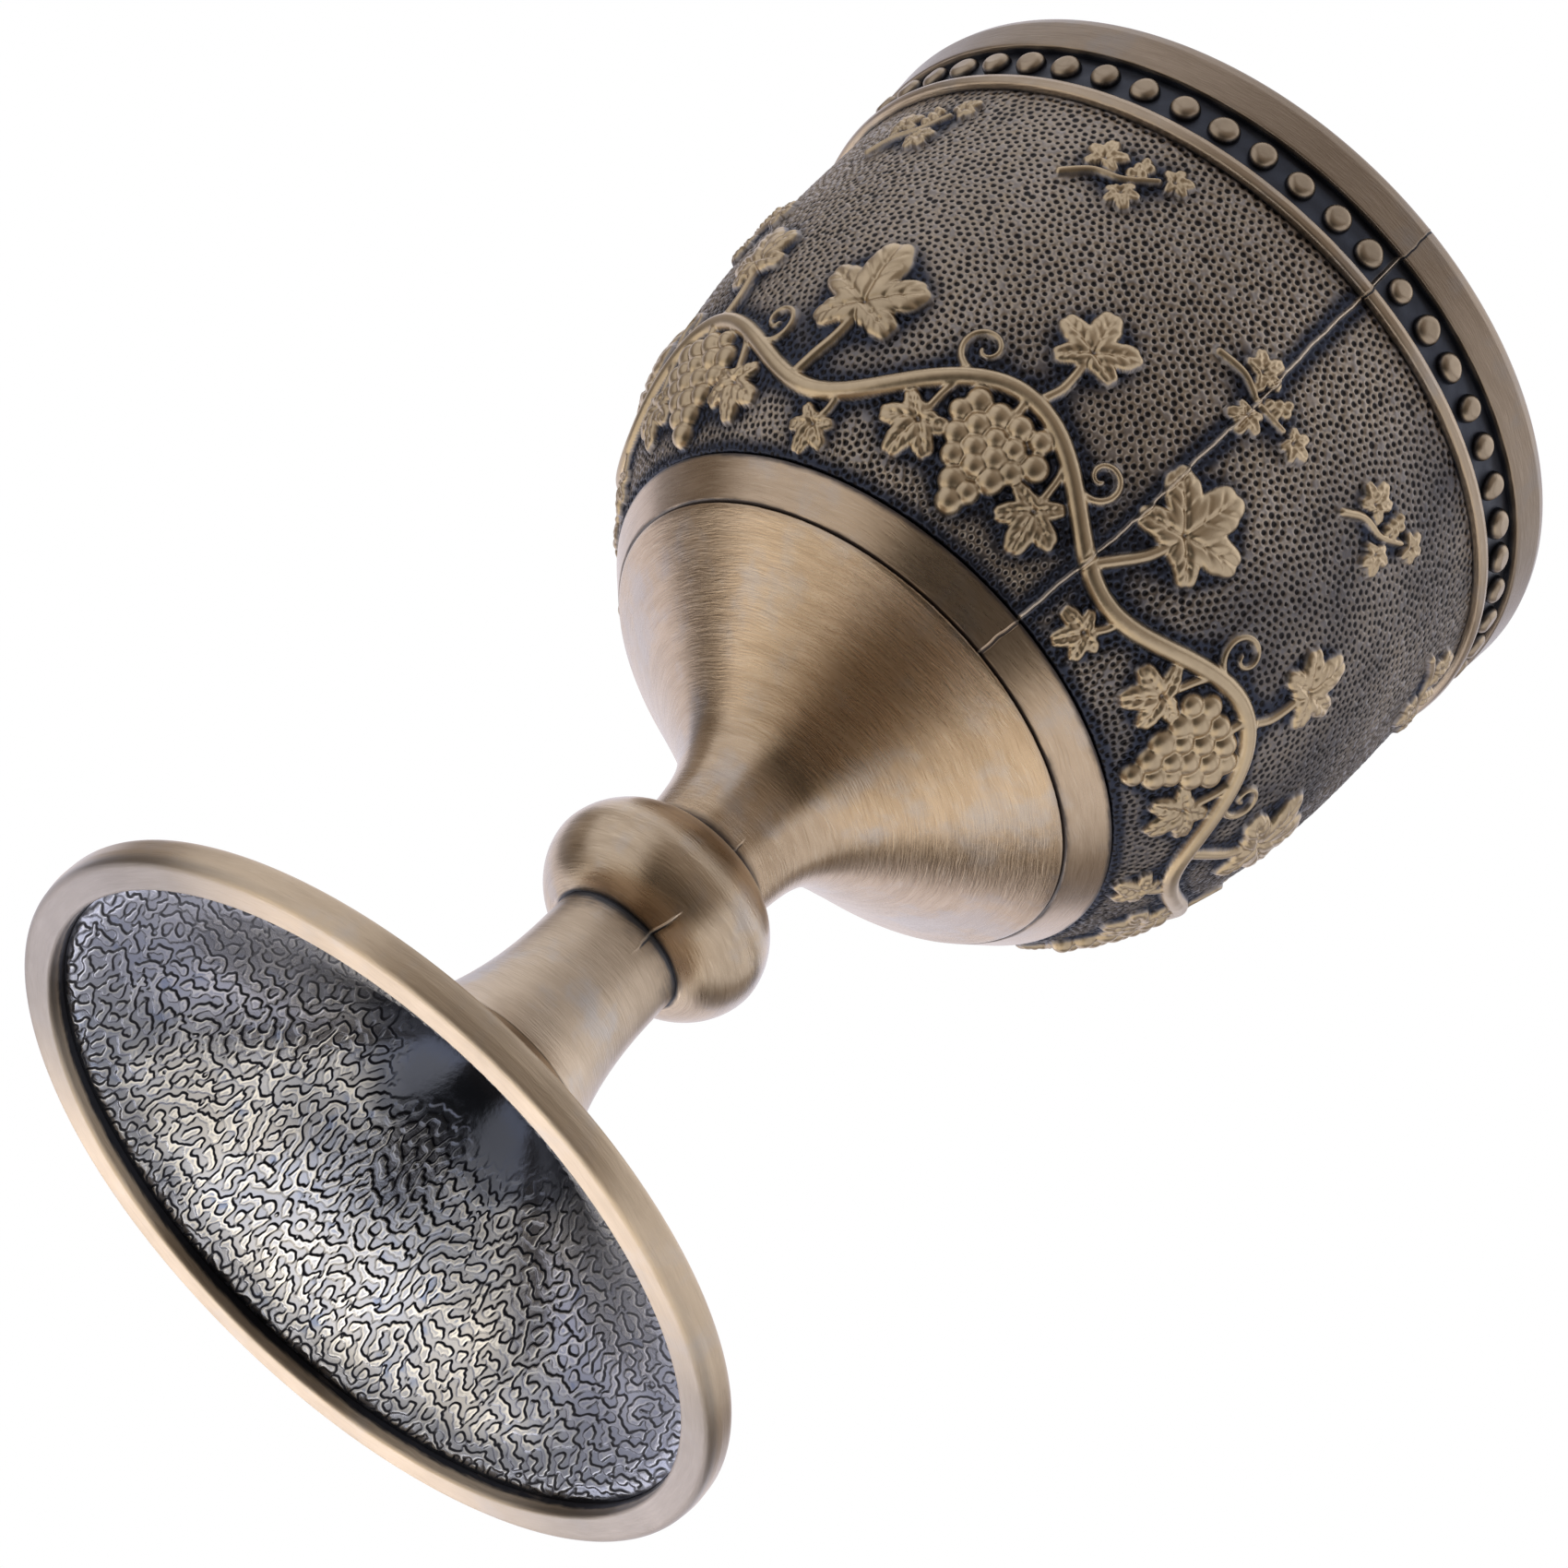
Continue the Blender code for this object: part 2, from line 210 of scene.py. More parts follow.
def turned(name, node, mats, R, Z, th, attrs=None, row_mat=None):
    """A closed turned piece. R and Z (mm) have one row per outline point and one column per angle."""
    rows, cols = R.shape
    co = np.stack([R * np.sin(th), -R * np.cos(th), Z], -1).reshape(-1, 3) * MM
    faces, fi, fj = sheet_of_quads(rows, cols, True)
    seg = np.hypot(np.diff(R[:, 0], append=R[0, 0]), np.diff(Z[:, 0], append=Z[0, 0]))
    v = np.concatenate([[0.0], np.cumsum(seg)]) * MM * 10.0
    u = np.concatenate([th, [th[0] + 2 * math.pi]]) / (2 * math.pi)
    uv = np.stack([np.stack([u[fj], v[fi]], -1), np.stack([u[fj], v[fi + 1]], -1),
                   np.stack([u[fj + 1], v[fi + 1]], -1), np.stack([u[fj + 1], v[fi]], -1)], 1)
    mesh = bpy.data.meshes.new(name)
    full = {k: np.broadcast_to(a if np.ndim(a) == 2 else np.asarray(a)[:, None], R.shape) for k, a in (attrs or {}).items()}
    # brushing coordinate: distance along the outline, in mm
    full["run"] = np.broadcast_to((v[:-1] * 100.0)[:, None], R.shape)
    fill_mesh(mesh, co, faces, uv, full, None if row_mat is None else np.asarray(row_mat)[fi])
    return add_piece(name, mesh, mats, node)


def plain_turn(name, node, mats, line, th, attrs=None, seam=0.0, wobble=0.0, seam_rows=None, row_mat=None, seam_light=1.0):
    """A turned piece from one outline, with an optional raised joint line and slight hand unevenness."""
    R = np.repeat(line[:, :1], len(th), 1)
    Z = np.repeat(line[:, 1:], len(th), 1)
    nxt, prv = np.roll(line, -1, 0), np.roll(line, 1, 0)
    tang = nxt - prv
    tang /= np.linalg.norm(tang, axis=1, keepdims=True) + 1e-12
    nor = np.stack([-tang[:, 1], tang[:, 0]], -1)       # outward, for an outline run down its outside
    attrs = dict(attrs or {})
    h = np.zeros_like(R)
    if wobble:
        for k in range(2, 9):
            a, p, q = rng.normal() * wobble / k, rng.uniform(0, 6.28), rng.uniform(0, 6.28)
            h += a * np.sin(k * th + p)[None, :] * np.cos(0.35 * Z + q)
    if seam:
        d = ((th - SEAM + math.pi) % (2 * math.pi) - math.pi)[None, :] * np.maximum(R, 1.0)
        d = d + 0.05 * np.sin(Z * 2.1) + 0.03 * np.sin(Z * 5.3 + 1.0)
        w = np.ones(len(line))[:, None] if seam_rows is None else np.asarray(seam_rows)[:, None]
        h += w * seam * (np.exp(-(d / 0.075) ** 2) - 0.8 * np.exp(-((d - 0.19) / 0.11) ** 2))
        attrs["joint"] = np.maximum(attrs.get("joint", 0.0), seam_light * w * np.exp(-(d / 0.08) ** 2))
        attrs["cav"] = np.maximum(np.broadcast_to(np.asarray(attrs.get("cav", np.zeros(len(line))))[:, None]
                                                  if np.ndim(attrs.get("cav", 0)) != 2 else attrs["cav"], R.shape),
                                  w * 0.95 * np.exp(-((d - 0.19) / 0.12) ** 2))
    R = R + h * nor[:, :1]
    Z = Z + h * nor[:, 1:]
    return turned(name, node, mats, R, Z, th, attrs, row_mat)


def ends(line, at, reach):
    """How close each outline point is to any of the given (r, z) corners, 1 at the corner."""
    d = np.min([np.hypot(line[:, 0] - r, line[:, 1] - z) for r, z in at], axis=0)
    return np.exp(-(d / reach) ** 2)


# ------------------------------------------------------------------ material helpers
class Graph:
    def __init__(self, name):
        self.mat = bpy.data.materials.new(name)
        self.mat.use_nodes = True
        self.t = self.mat.node_tree
        self.t.nodes.clear()
        self.out = self.t.nodes.new("ShaderNodeOutputMaterial")

    def node(self, kind, **props):
        n = self.t.nodes.new(kind)
        for k, v in props.items():
            setattr(n, k, v)
        return n

    def link(self, a, b):
        self.t.links.new(a, b)

    def put(self, sock, value):
        if hasattr(value, "links"):
            self.link(value, sock)
        else:
            sock.default_value = value

    def math(self, op, a, b=0.0, c=None, clamp=False):
        n = self.node("ShaderNodeMath", operation=op, use_clamp=clamp)
        self.put(n.inputs[0], a)
        self.put(n.inputs[1], b)
        if c is not None:
            self.put(n.inputs[2], c)
        return n.outputs[0]

    def attr(self, name):
        return self.node("ShaderNodeAttribute", attribute_type="GEOMETRY", attribute_name=name).outputs["Fac"]

    def noise(self, vec, scale, detail=3.0, rough=0.55, dist=0.0):
        n = self.node("ShaderNodeTexNoise", noise_dimensions="3D")
        self.put(n.inputs["Vector"], vec)
        n.inputs["Scale"].default_value = scale
        n.inputs["Detail"].default_value = detail
        n.inputs["Roughness"].default_value = rough
        n.inputs["Distortion"].default_value = dist
        return n.outputs["Fac"]

    def remap(self, val, a, b, c=0.0, d=1.0, kind="SMOOTHSTEP"):
        n = self.node("ShaderNodeMapRange", interpolation_type=kind)
        self.put(n.inputs["Value"], val)
        n.inputs["From Min"].default_value = a
        n.inputs["From Max"].default_value = b
        n.inputs["To Min"].default_value = c
        n.inputs["To Max"].default_value = d
        return n.outputs["Result"]

    def mix(self, fac, a, b, mode="MIX"):
        n = self.node("ShaderNodeMix", data_type="RGBA", blend_type=mode)
        n.clamp_factor = True
        self.put(n.inputs["Factor"], fac)
        for s, v in ((n.inputs[6], a), (n.inputs[7], b)):
            self.put(s, v if hasattr(v, "links") else (*v, 1.0) if len(v) == 3 else v)
        return n.outputs[2]

    def brush_vectors(self):
        """Coordinates stretched round the axis: (x, y, run) so that lines run round the piece without a break."""
        pos = self.node("ShaderNodeNewGeometry").outputs["Position"]
        sep = self.node("ShaderNodeSeparateXYZ")
        self.link(pos, sep.inputs[0])
        run = self.math("MULTIPLY_ADD", self.noise(pos, 160.0, 2.0), 0.8, self.attr("run"))

        def vec(k, s, lean):
            n = self.node("ShaderNodeCombineXYZ")
            self.link(self.math("MULTIPLY", sep.outputs[0], k), n.inputs[0])
            self.link(self.math("MULTIPLY", sep.outputs[1], k), n.inputs[1])
            self.link(self.math("MULTIPLY", self.math("MULTIPLY_ADD", sep.outputs[0], lean, run), s), n.inputs[2])
            return n.outputs[0]
        return pos, vec


def brushed_brass(name, base, deep, pale, rough=0.30, aniso=0.7, streak=1.0, patina=(0.030, 0.032, 0.042), bump=0.14, coat=0.35, soil=0.40):
    """Turned and brushed antiqued brass: fine short lines round the axis, faint tarnish, dark patina in the grooves,
    pale joint lines, and on some pieces painted highlights and painted shade.
    """
    g = Graph(name)
    pos, vec = g.brush_vectors()
    fine = g.noise(vec(420.0, 5.2, 110.0), 1.0, 3.0, 0.6)
    hair = g.noise(vec(300.0, 7.5, -70.0), 1.0, 2.0, 0.55)
    smudge = g.noise(pos, 150.0, 4.0, 0.62)
    level = 0.30 * base[0] + 0.55 * base[1] + 0.15 * base[2]
    broad = g.noise(vec(150.0, 0.9, 40.0), 1.0, 3.0, 0.6)
    blotch = g.noise(pos, 210.0, 4.0, 0.62)
    col = g.mix(g.math("MULTIPLY", g.remap(broad, 0.62, 0.36), 0.35 * streak), base, deep)
    col = g.mix(g.math("MULTIPLY", g.remap(fine, 0.50, 0.76), 0.40 * streak), col, pale)
    col = g.mix(g.math("MULTIPLY", g.remap(hair, 0.48, 0.26), 0.50 * streak), col, deep)
    col = g.mix(g.math("MULTIPLY", g.remap(blotch, 0.54, 0.78), 0.22), col, deep)
    col = g.mix(g.math("MULTIPLY", g.remap(smudge, 0.50, 0.70), soil), col, (1.05 * level, 0.985 * level, 0.97 * level))
    # painted shade: dulls the colour towards dark brown where asked (the foot ring's sides)
    col = g.mix(g.attr("painted_side_shade"), col, (0.50 * level, 0.425 * level, 0.36 * level))
    cav = g.attr("cav")
    edge = g.math("MULTIPLY_ADD", g.math("SUBTRACT", blotch, 0.5), 0.7, cav)
    edge = g.math("MULTIPLY_ADD", g.math("SUBTRACT", fine, 0.5), 0.45, edge)
    pat = g.math("MULTIPLY", g.remap(edge, 0.25, 0.85), g.remap(cav, 0.02, 0.25))
    col = g.mix(pat, col, patina)
    # pale along joint lines; on the knop's shoulder this is a painted highlight
    col = g.mix(g.math("MULTIPLY", g.attr("joint"), 0.55), col, pale)
    r = g.math("MULTIPLY_ADD", g.math("SUBTRACT", fine, 0.5), 0.16, rough)
    r = g.math("MULTIPLY_ADD", g.math("SUBTRACT", blotch, 0.5), 0.14, r)
    r = g.math("MULTIPLY_ADD", g.attr("joint"), 0.20, r)
    r = g.math("MULTIPLY_ADD", pat, 0.18, r, clamp=True)
    bsdf = g.node("ShaderNodeBsdfPrincipled")
    g.link(col, bsdf.inputs["Base Color"])
    g.link(r, bsdf.inputs["Roughness"])
    bsdf.inputs["Metallic"].default_value = 1.0
    bsdf.inputs["Anisotropic"].default_value = aniso
    bsdf.inputs["Anisotropic Rotation"].default_value = 0.25
    bsdf.inputs["Coat Weight"].default_value = coat          # thin lacquer over the patina
    bsdf.inputs["Coat Roughness"].default_value = 0.16
    tan = g.node("ShaderNodeTangent", direction_type="RADIAL", axis="Z")
    g.link(tan.outputs[0], bsdf.inputs["Tangent"])
    b = g.node("ShaderNodeBump")
    b.inputs["Strength"].default_value = bump
    b.inputs["Distance"].default_value = 0.0002
    g.link(g.math("ADD", fine, g.math("MULTIPLY", hair, 0.8)), b.inputs["Height"])
    g.link(b.outputs[0], bsdf.inputs["Normal"])
    g.link(bsdf.outputs[0], g.out.inputs["Surface"])
    return g.mat


BASE = (0.560, 0.418, 0.288)
DEEP = (0.41, 0.290, 0.185)
PALE = (0.70, 0.565, 0.425)
INK = (0.030, 0.031, 0.040)
GROOVE = (0.075, 0.060, 0.056)

m_lip = brushed_brass("lip_brushed", (0.310, 0.240, 0.180), (0.225, 0.168, 0.120), (0.43, 0.34, 0.265), 0.40, 0.4)
m_ridge = brushed_brass("ridge_brushed", (0.44, 0.345, 0.255), (0.33, 0.25, 0.175), (0.58, 0.47, 0.36), 0.36, 0.3)
m_band = brushed_brass("base_band_brushed", (0.53, 0.400, 0.285), (0.38, 0.275, 0.185), (0.68, 0.555, 0.425), 0.29, 0.7, patina=GROOVE)
m_cone = brushed_brass("cone_brushed", BASE, DEEP, PALE, 0.27, 0.62, 1.45, patina=GROOVE, bump=0.21, soil=0.5)
m_knop = brushed_brass("knop_brushed", (0.565, 0.440, 0.315), (0.40, 0.300, 0.205), (0.80, 0.655, 0.49), 0.29, 0.5, 1.3, patina=INK, soil=0.55)
m_stem = brushed_brass("stem_brushed", (0.60, 0.480, 0.365), (0.46, 0.36, 0.265), (0.70, 0.585, 0.465), 0.37, 0.5, 1.25, patina=(0.095, 0.098, 0.112), bump=0.18, soil=0.75)
m_ring = brushed_brass("foot_ring_brushed", (0.66, 0.525, 0.385), (0.52, 0.405, 0.29), (0.78, 0.645, 0.505), 0.40, 0.95, 1.0, patina=INK)
m_foot = brushed_brass("foot_brushed", (0.51, 0.385, 0.265), (0.38, 0.28, 0.19), PALE, 0.33, 0.6, patina=INK)
m_cup = brushed_brass("cup_spun", (0.56, 0.43, 0.30), (0.45, 0.335, 0.225), (0.68, 0.55, 0.41), 0.30, 0.6, 0.9, bump=0.08)


def antiqued(name, tops, ground, low, rough_hi, rough_lo, top_attr, dark_attr, halo_attr=None, noise_scale=400.0):
    """Antiqued casting: bright worn tops, brown ground and blue-black patina where the surface is sunk; on the sleeve
    the halo also carries painted shade down its right-hand side.
    """
    g = Graph(name)
    pos = g.node("ShaderNodeNewGeometry").outputs["Position"]
    grain = g.noise(pos, noise_scale * 4.0, 3.0, 0.6)
    blot = g.noise(pos, noise_scale * 0.5, 4.0, 0.6)
    top = g.attr(top_attr)
    dark = g.attr(dark_attr)
    col = g.mix(g.remap(blot, 0.3, 0.7), ground, tuple(0.78 * c for c in ground))
    col = g.mix(g.math("MULTIPLY", g.remap(grain, 0.45, 0.75), 0.30), col, tops)
    if halo_attr:
        # here the dark attribute is the distance from the nearest pit, in pit radii
        halo = g.math("MULTIPLY_ADD", g.math("SUBTRACT", blot, 0.5), 0.5, g.attr(halo_attr))
        near = g.math("MULTIPLY_ADD", g.math("SUBTRACT", grain, 0.5), 0.40, dark)
        ring = g.math("MULTIPLY", g.remap(near, 0.95, 1.30), g.remap(near, 2.0, 1.45))
        col = g.mix(g.math("MULTIPLY", ring, 0.30), col, tops)
        col = g.mix(g.remap(halo, 0.18, 0.80), col, low)
        dark = g.math("MULTIPLY", g.remap(near, 1.22, 0.76), 0.96)
    col = g.mix(dark, col, (0.020, 0.018, 0.019) if halo_attr else low)
    wear_and_painted_sheen = g.math("MULTIPLY_ADD", g.math("SUBTRACT", grain, 0.5), 0.35, top)
    wear_and_painted_sheen = g.remap(wear_and_painted_sheen, 0.25, 0.80)
    topcol = g.mix(g.remap(blot, 0.35, 0.75), tops, tuple(0.80 * c for c in tops))
    col = g.mix(wear_and_painted_sheen, col, topcol)
    col = g.mix(g.attr("joint"), col, (0.76, 0.645, 0.53))
    r = g.math("MULTIPLY_ADD", wear_and_painted_sheen, rough_hi - rough_lo, rough_lo)
    r = g.math("MULTIPLY_ADD", g.math("SUBTRACT", grain, 0.5), 0.2, r, clamp=True)
    bsdf = g.node("ShaderNodeBsdfPrincipled")
    g.link(col, bsdf.inputs["Base Color"])
    g.link(r, bsdf.inputs["Roughness"])
    bsdf.inputs["Metallic"].default_value = 1.0
    b = g.node("ShaderNodeBump")
    b.inputs["Strength"].default_value = 0.12
    b.inputs["Distance"].default_value = 0.0002
    g.link(grain, b.inputs["Height"])
    g.link(b.outputs[0], bsdf.inputs["Normal"])
    g.link(bsdf.outputs[0], g.out.inputs["Surface"])
    return g.mat


m_gallery = antiqued("gallery_antiqued", (0.385, 0.305, 0.225), (0.25, 0.20, 0.15), (0.046, 0.053, 0.072), 0.36, 0.40, "top", "cav", None, 300.0)
m_sleeve = antiqued("sleeve_antiqued", (0.53, 0.415, 0.280), (0.304, 0.270, 0.256), (0.040, 0.045, 0.066), 0.34, 0.38, "top", "cav", "halo", 260.0)


def crackled(name):
    """Crackled casting under the foot: painted silvery highlights on the island rims, greyer tops, dark cracks with
    painted shade on their throat-facing edges, painted shade by the rim, at the sides and towards the throat, and
    smooth dark metal at the throat.
    """
    g = Graph(name)
    pos = g.node("ShaderNodeNewGeometry").outputs["Position"]
    grain = g.noise(pos, 1500.0, 3.0, 0.6)
    blot = g.noise(pos, 110.0, 3.0, 0.6)
    spot = g.noise(pos, 420.0, 2.0, 0.5)
    ragged = g.noise(pos, 2600.0, 2.0, 0.6)
    # the islands stand where the field is above zero; their edges are dark cracks with painted shade and, just inside,
    # painted highlights, both heavier towards the throat and at the sides
    side = g.attr("side")
    level = g.math("MULTIPLY_ADD", g.math("SUBTRACT", ragged, 0.5), 0.24, g.attr("field"))
    crack_and_painted_shade = g.math("MULTIPLY", g.remap(g.math("ABSOLUTE", g.math("ADD", level, 0.10)), 0.70, 0.32), g.math("MULTIPLY_ADD", side, 0.68, 0.32))
    deep = g.math("MULTIPLY", crack_and_painted_shade, g.attr("cav"))
    # painted highlight: a pale rim just inside each island edge, heavier on the edges facing the throat
    rim = g.math("MULTIPLY", g.remap(level, 0.34, 0.58), g.remap(level, 1.32, 0.95))
    rim = g.math("MULTIPLY", g.math("MULTIPLY", rim, g.math("MULTIPLY_ADD", side, 0.6, 0.4)), g.attr("cav"))
    smooth_zone = g.attr("halo")
    tops = g.mix(g.remap(blot, 0.35, 0.65), (0.55, 0.53, 0.515), (0.475, 0.49, 0.55))
    tops = g.mix(g.math("MULTIPLY", g.remap(spot, 0.60, 0.70), g.remap(blot, 0.44, 0.58)), tops, (0.28, 0.33, 0.47))
    # the painted highlight colour of the rims
    col = g.mix(rim, tops, (0.98, 0.94, 0.87))
    col = g.mix(g.math("MULTIPLY", g.remap(grain, 0.45, 0.72), 0.20), col, (0.78, 0.74, 0.68))
    # painted shade: darkens towards blue-grey where the shade attribute is set
    col = g.mix(g.math("MULTIPLY", g.attr("shade"), 0.80), col, (0.085, 0.095, 0.128))
    # dark cracks, carrying painted shade on the edges facing the throat
    col = g.mix(deep, col, (0.012, 0.012, 0.016))
    col = g.mix(smooth_zone, col, (0.085, 0.094, 0.125))
    r = g.math("MULTIPLY_ADD", g.math("SUBTRACT", grain, 0.5), 0.12, 0.19)
    r = g.math("MULTIPLY_ADD", deep, 0.25, r, clamp=True)
    bsdf = g.node("ShaderNodeBsdfPrincipled")
    g.link(col, bsdf.inputs["Base Color"])
    g.link(r, bsdf.inputs["Roughness"])
    bsdf.inputs["Metallic"].default_value = 1.0
    b = g.node("ShaderNodeBump")
    b.inputs["Strength"].default_value = 0.12
    b.inputs["Distance"].default_value = 0.0002
    g.link(grain, b.inputs["Height"])
    g.link(b.outputs[0], bsdf.inputs["Normal"])
    g.link(bsdf.outputs[0], g.out.inputs["Surface"])
    return g.mat


m_crackle = crackled("foot_crackled")


def plain_steel(name, base, rough):
    """Zinc-dulled steel for the hidden fastening."""
    g = Graph(name)
    pos = g.node("ShaderNodeNewGeometry").outputs["Position"]
    n1 = g.noise(pos, 900.0, 4.0, 0.6)
    n2 = g.noise(pos, 260.0, 3.0, 0.6)
    col = g.mix(g.remap(n2, 0.35, 0.7), base, tuple(0.6 * c for c in base))
    col = g.mix(g.math("MULTIPLY", g.remap(n1, 0.5, 0.8), 0.3), col, (0.26, 0.19, 0.13))
    bsdf = g.node("ShaderNodeBsdfPrincipled")
    g.link(col, bsdf.inputs["Base Color"])
    g.link(g.math("MULTIPLY_ADD", n1, 0.25, rough - 0.12), bsdf.inputs["Roughness"])
    bsdf.inputs["Metallic"].default_value = 1.0
    b = g.node("ShaderNodeBump")
    b.inputs["Strength"].default_value = 0.2
    b.inputs["Distance"].default_value = 0.0002
    g.link(n1, b.inputs["Height"])
    g.link(b.outputs[0], bsdf.inputs["Normal"])
    g.link(bsdf.outputs[0], g.out.inputs["Surface"])
    return g.mat


# ------------------------------------------------------------------ lip band
line = refine(fillet([(LIP_R1 - 0.25, HEIGHT, 1.0), (LIP_R1, HEIGHT - 1.1, 0.6), (LIP_R0, LIP_Z0 - 0.1, 0.22),
                      (BANDS_IN_R - 0.1, LIP_Z0 - 0.1, 0.1), (BANDS_IN_R - 0.1, HEIGHT, 0.55)], 7), 0.35)
cav = ends(line, [(LIP_R0 - 0.8, LIP_Z0 - 0.1)], 0.5)
plain_turn("lip_band", "lip_band", [m_lip], line, columns(360, True), {"cav": cav}, seam=0.03, wobble=0.03)

# ------------------------------------------------------------------ ridge ring
mid = 0.5 * (RIDGE_Z0 + RIDGE_Z1)
line = refine(fillet([(RIDGE_R - 0.15, RIDGE_Z1 + 0.12, 0.40), (RIDGE_R, mid, 0.55), (RIDGE_R - 0.15, RIDGE_Z0 - 0.12, 0.40),
                      (BANDS_IN_R, RIDGE_Z0 - 0.12, 0.1), (BANDS_IN_R, RIDGE_Z1 + 0.12, 0.1)], 6), 0.4)
cav = ends(line, [(RIDGE_R - 1.1, RIDGE_Z1 + 0.12), (RIDGE_R - 1.1, RIDGE_Z0 - 0.12)], 0.40)
plain_turn("ridge_ring", "ridge_ring", [m_ridge], line, columns(360, True), {"cav": cav}, seam=0.10, wobble=0.03)

# ------------------------------------------------------------------ bead gallery: channel and worn beads
line = refine(fillet([(GALLERY_R, GALLERY_Z1 + 0.4, 0.1), (GALLERY_R, GALLERY_Z0 - 0.3, 0.1),
                      (BANDS_IN_R, GALLERY_Z0 - 0.3, 0.1), (BANDS_IN_R, GALLERY_Z1 + 0.4, 0.1)], 3), 0.3)
th = columns(360, True)
rows, cols = len(line), len(th)
R = np.repeat(line[:, :1], cols, 1)
Z = np.repeat(line[:, 1:], cols, 1)
d = ((th - SEAM + math.pi) % (2 * math.pi) - math.pi)[None, :] * R
face = (np.abs(R - GALLERY_R) < 0.05)
R = R + face * (0.42 * np.exp(-(d / 0.13) ** 2) + 0.03 * np.sin(31 * th)[None, :] * np.sin(Z * 3.0))
co = [np.stack([R * np.sin(th), -R * np.cos(th), Z], -1).reshape(-1, 3)]
quads, fi, fj = sheet_of_quads(rows, cols, True)
faces = [quads]
joint = [(face * np.exp(-(d / 0.15) ** 2)).ravel()]
top = [np.zeros(rows * cols)]
dark = [np.ones(rows * cols) * 0.96]
run = [np.repeat(np.arange(rows) * 0.3, cols)]
count = rows * cols
NB = 28
RINGS = np.array([0.06, 0.2, 0.36, 0.5, 0.6, 0.68, 0.75, 0.81, 0.87, 0.92, 0.96, 0.985, 1.0])
bead_mid = 0.5 * (GALLERY_Z0 + GALLERY_Z1) + 0.06
phi = np.arange(NB) * 2 * math.pi / NB
for i in range(BEADS):
    a = SEAM + (i + 0.5) * 2 * math.pi / BEADS + rng.normal() * 0.0022
    size = (BEAD_R + 0.15) * (1.0 + 0.025 * rng.normal())
    squeeze = 1.0 + 0.035 * rng.normal() * np.cos(2 * phi) + 0.02 * rng.normal() * np.cos(3 * phi + 1.0)
    px = RINGS[:, None] * size * np.cos(phi)[None, :] * squeeze[None, :]
    py = RINGS[:, None] * size * np.sin(phi)[None, :] * squeeze[None, :]
    # a dome with a worn flat, steep at its foot; the last ring is sunk in the channel floor
    stand = 0.86 * (1.0 + 0.05 * rng.normal())
    pa = stand * np.sqrt(np.clip(1.0 - RINGS ** 3.4, 0, 1))
    pa = np.minimum(pa, 0.93 * stand + 0.10 * (pa - 0.93 * stand))[:, None] + np.zeros((1, NB))
    pa = pa + (rng.normal() * 0.03 * px + rng.normal() * 0.03 * py)
    pa[-1] = -0.35
    wear_and_painted_sheen = np.repeat(smooth(0.985, 0.80, RINGS)[:, None], NB, 1)
    base = np.repeat(smooth(0.86, 1.0, RINGS)[:, None], NB, 1)
    zz = bead_mid + rng.normal() * 0.025 + py
    rr = GALLERY_R + pa
    tt = a + px / (GALLERY_R + 0.5)
    pts = np.stack([rr * np.sin(tt), -rr * np.cos(tt), zz], -1).reshape(-1, 3)
    nrow = len(RINGS)
    ii, jj = np.meshgrid(np.arange(nrow - 1), np.arange(NB), indexing="ij")
    j2 = (jj + 1) % NB
    q = np.stack([ii * NB + jj, (ii + 1) * NB + jj, (ii + 1) * NB + j2, ii * NB + j2], -1).reshape(-1, 4)
    mid_z = bead_mid
    centre = np.array([[(GALLERY_R + pa[0, 0]) * math.sin(a), -(GALLERY_R + pa[0, 0]) * math.cos(a), mid_z],
                       [(GALLERY_R - 0.35) * math.sin(a), -(GALLERY_R - 0.35) * math.cos(a), mid_z]])
    # the caps are fans of quads, two ring edges to a quad
    kk = np.arange(0, NB, 2)
    c0, c1 = nrow * NB, nrow * NB + 1
    capq = np.stack([np.full(len(kk), c0), kk, kk + 1, (kk + 2) % NB], -1)
    last = (nrow - 1) * NB
    endq = np.stack([np.full(len(kk), c1), last + (kk + 2) % NB, last + kk + 1, last + kk], -1)
    co.append(np.concatenate([pts, centre]))
    faces.append(np.concatenate([q, capq, endq]) + count)
    top.append(np.concatenate([wear_and_painted_sheen.ravel(), [1.0, 0.0]]))
    dark.append(np.concatenate([(base * 0.9).ravel(), [0.0, 1.0]]))
    joint.append(np.zeros(len(pts) + 2))
    run.append(np.zeros(len(pts) + 2))
    count += len(pts) + 2
mesh = bpy.data.meshes.new("bead_gallery")
fill_mesh(mesh, np.concatenate(co) * MM, np.concatenate(faces), None,
          {"top": np.concatenate(top), "cav": np.concatenate(dark), "joint": np.concatenate(joint), "run": np.concatenate(run)})
add_piece("bead_gallery", mesh, [m_gallery], "bead_gallery")

# ------------------------------------------------------------------ relief sleeve
# A drawing board of the sleeve, unrolled: columns round the axis, rows up the wall from its lower edge.
REF_R = 31.0
PIX = 0.10
zs = np.linspace(SLEEVE_Z0 - 0.2, SLEEVE_Z1 + 0.35, 900)
wall = np.concatenate([[0.0], np.cumsum(np.hypot(np.diff(sleeve_r(zs)), np.diff(zs)))])
LENGTH = float(wall[-1])
BW = int(round(2 * math.pi * REF_R / PIX))
BH = int(round(LENGTH / PIX))
board_h = np.zeros((BH, BW), np.float32)     # raised height, mm
board_m = np.zeros((BH, BW), np.float32)     # 1 on the raised figures


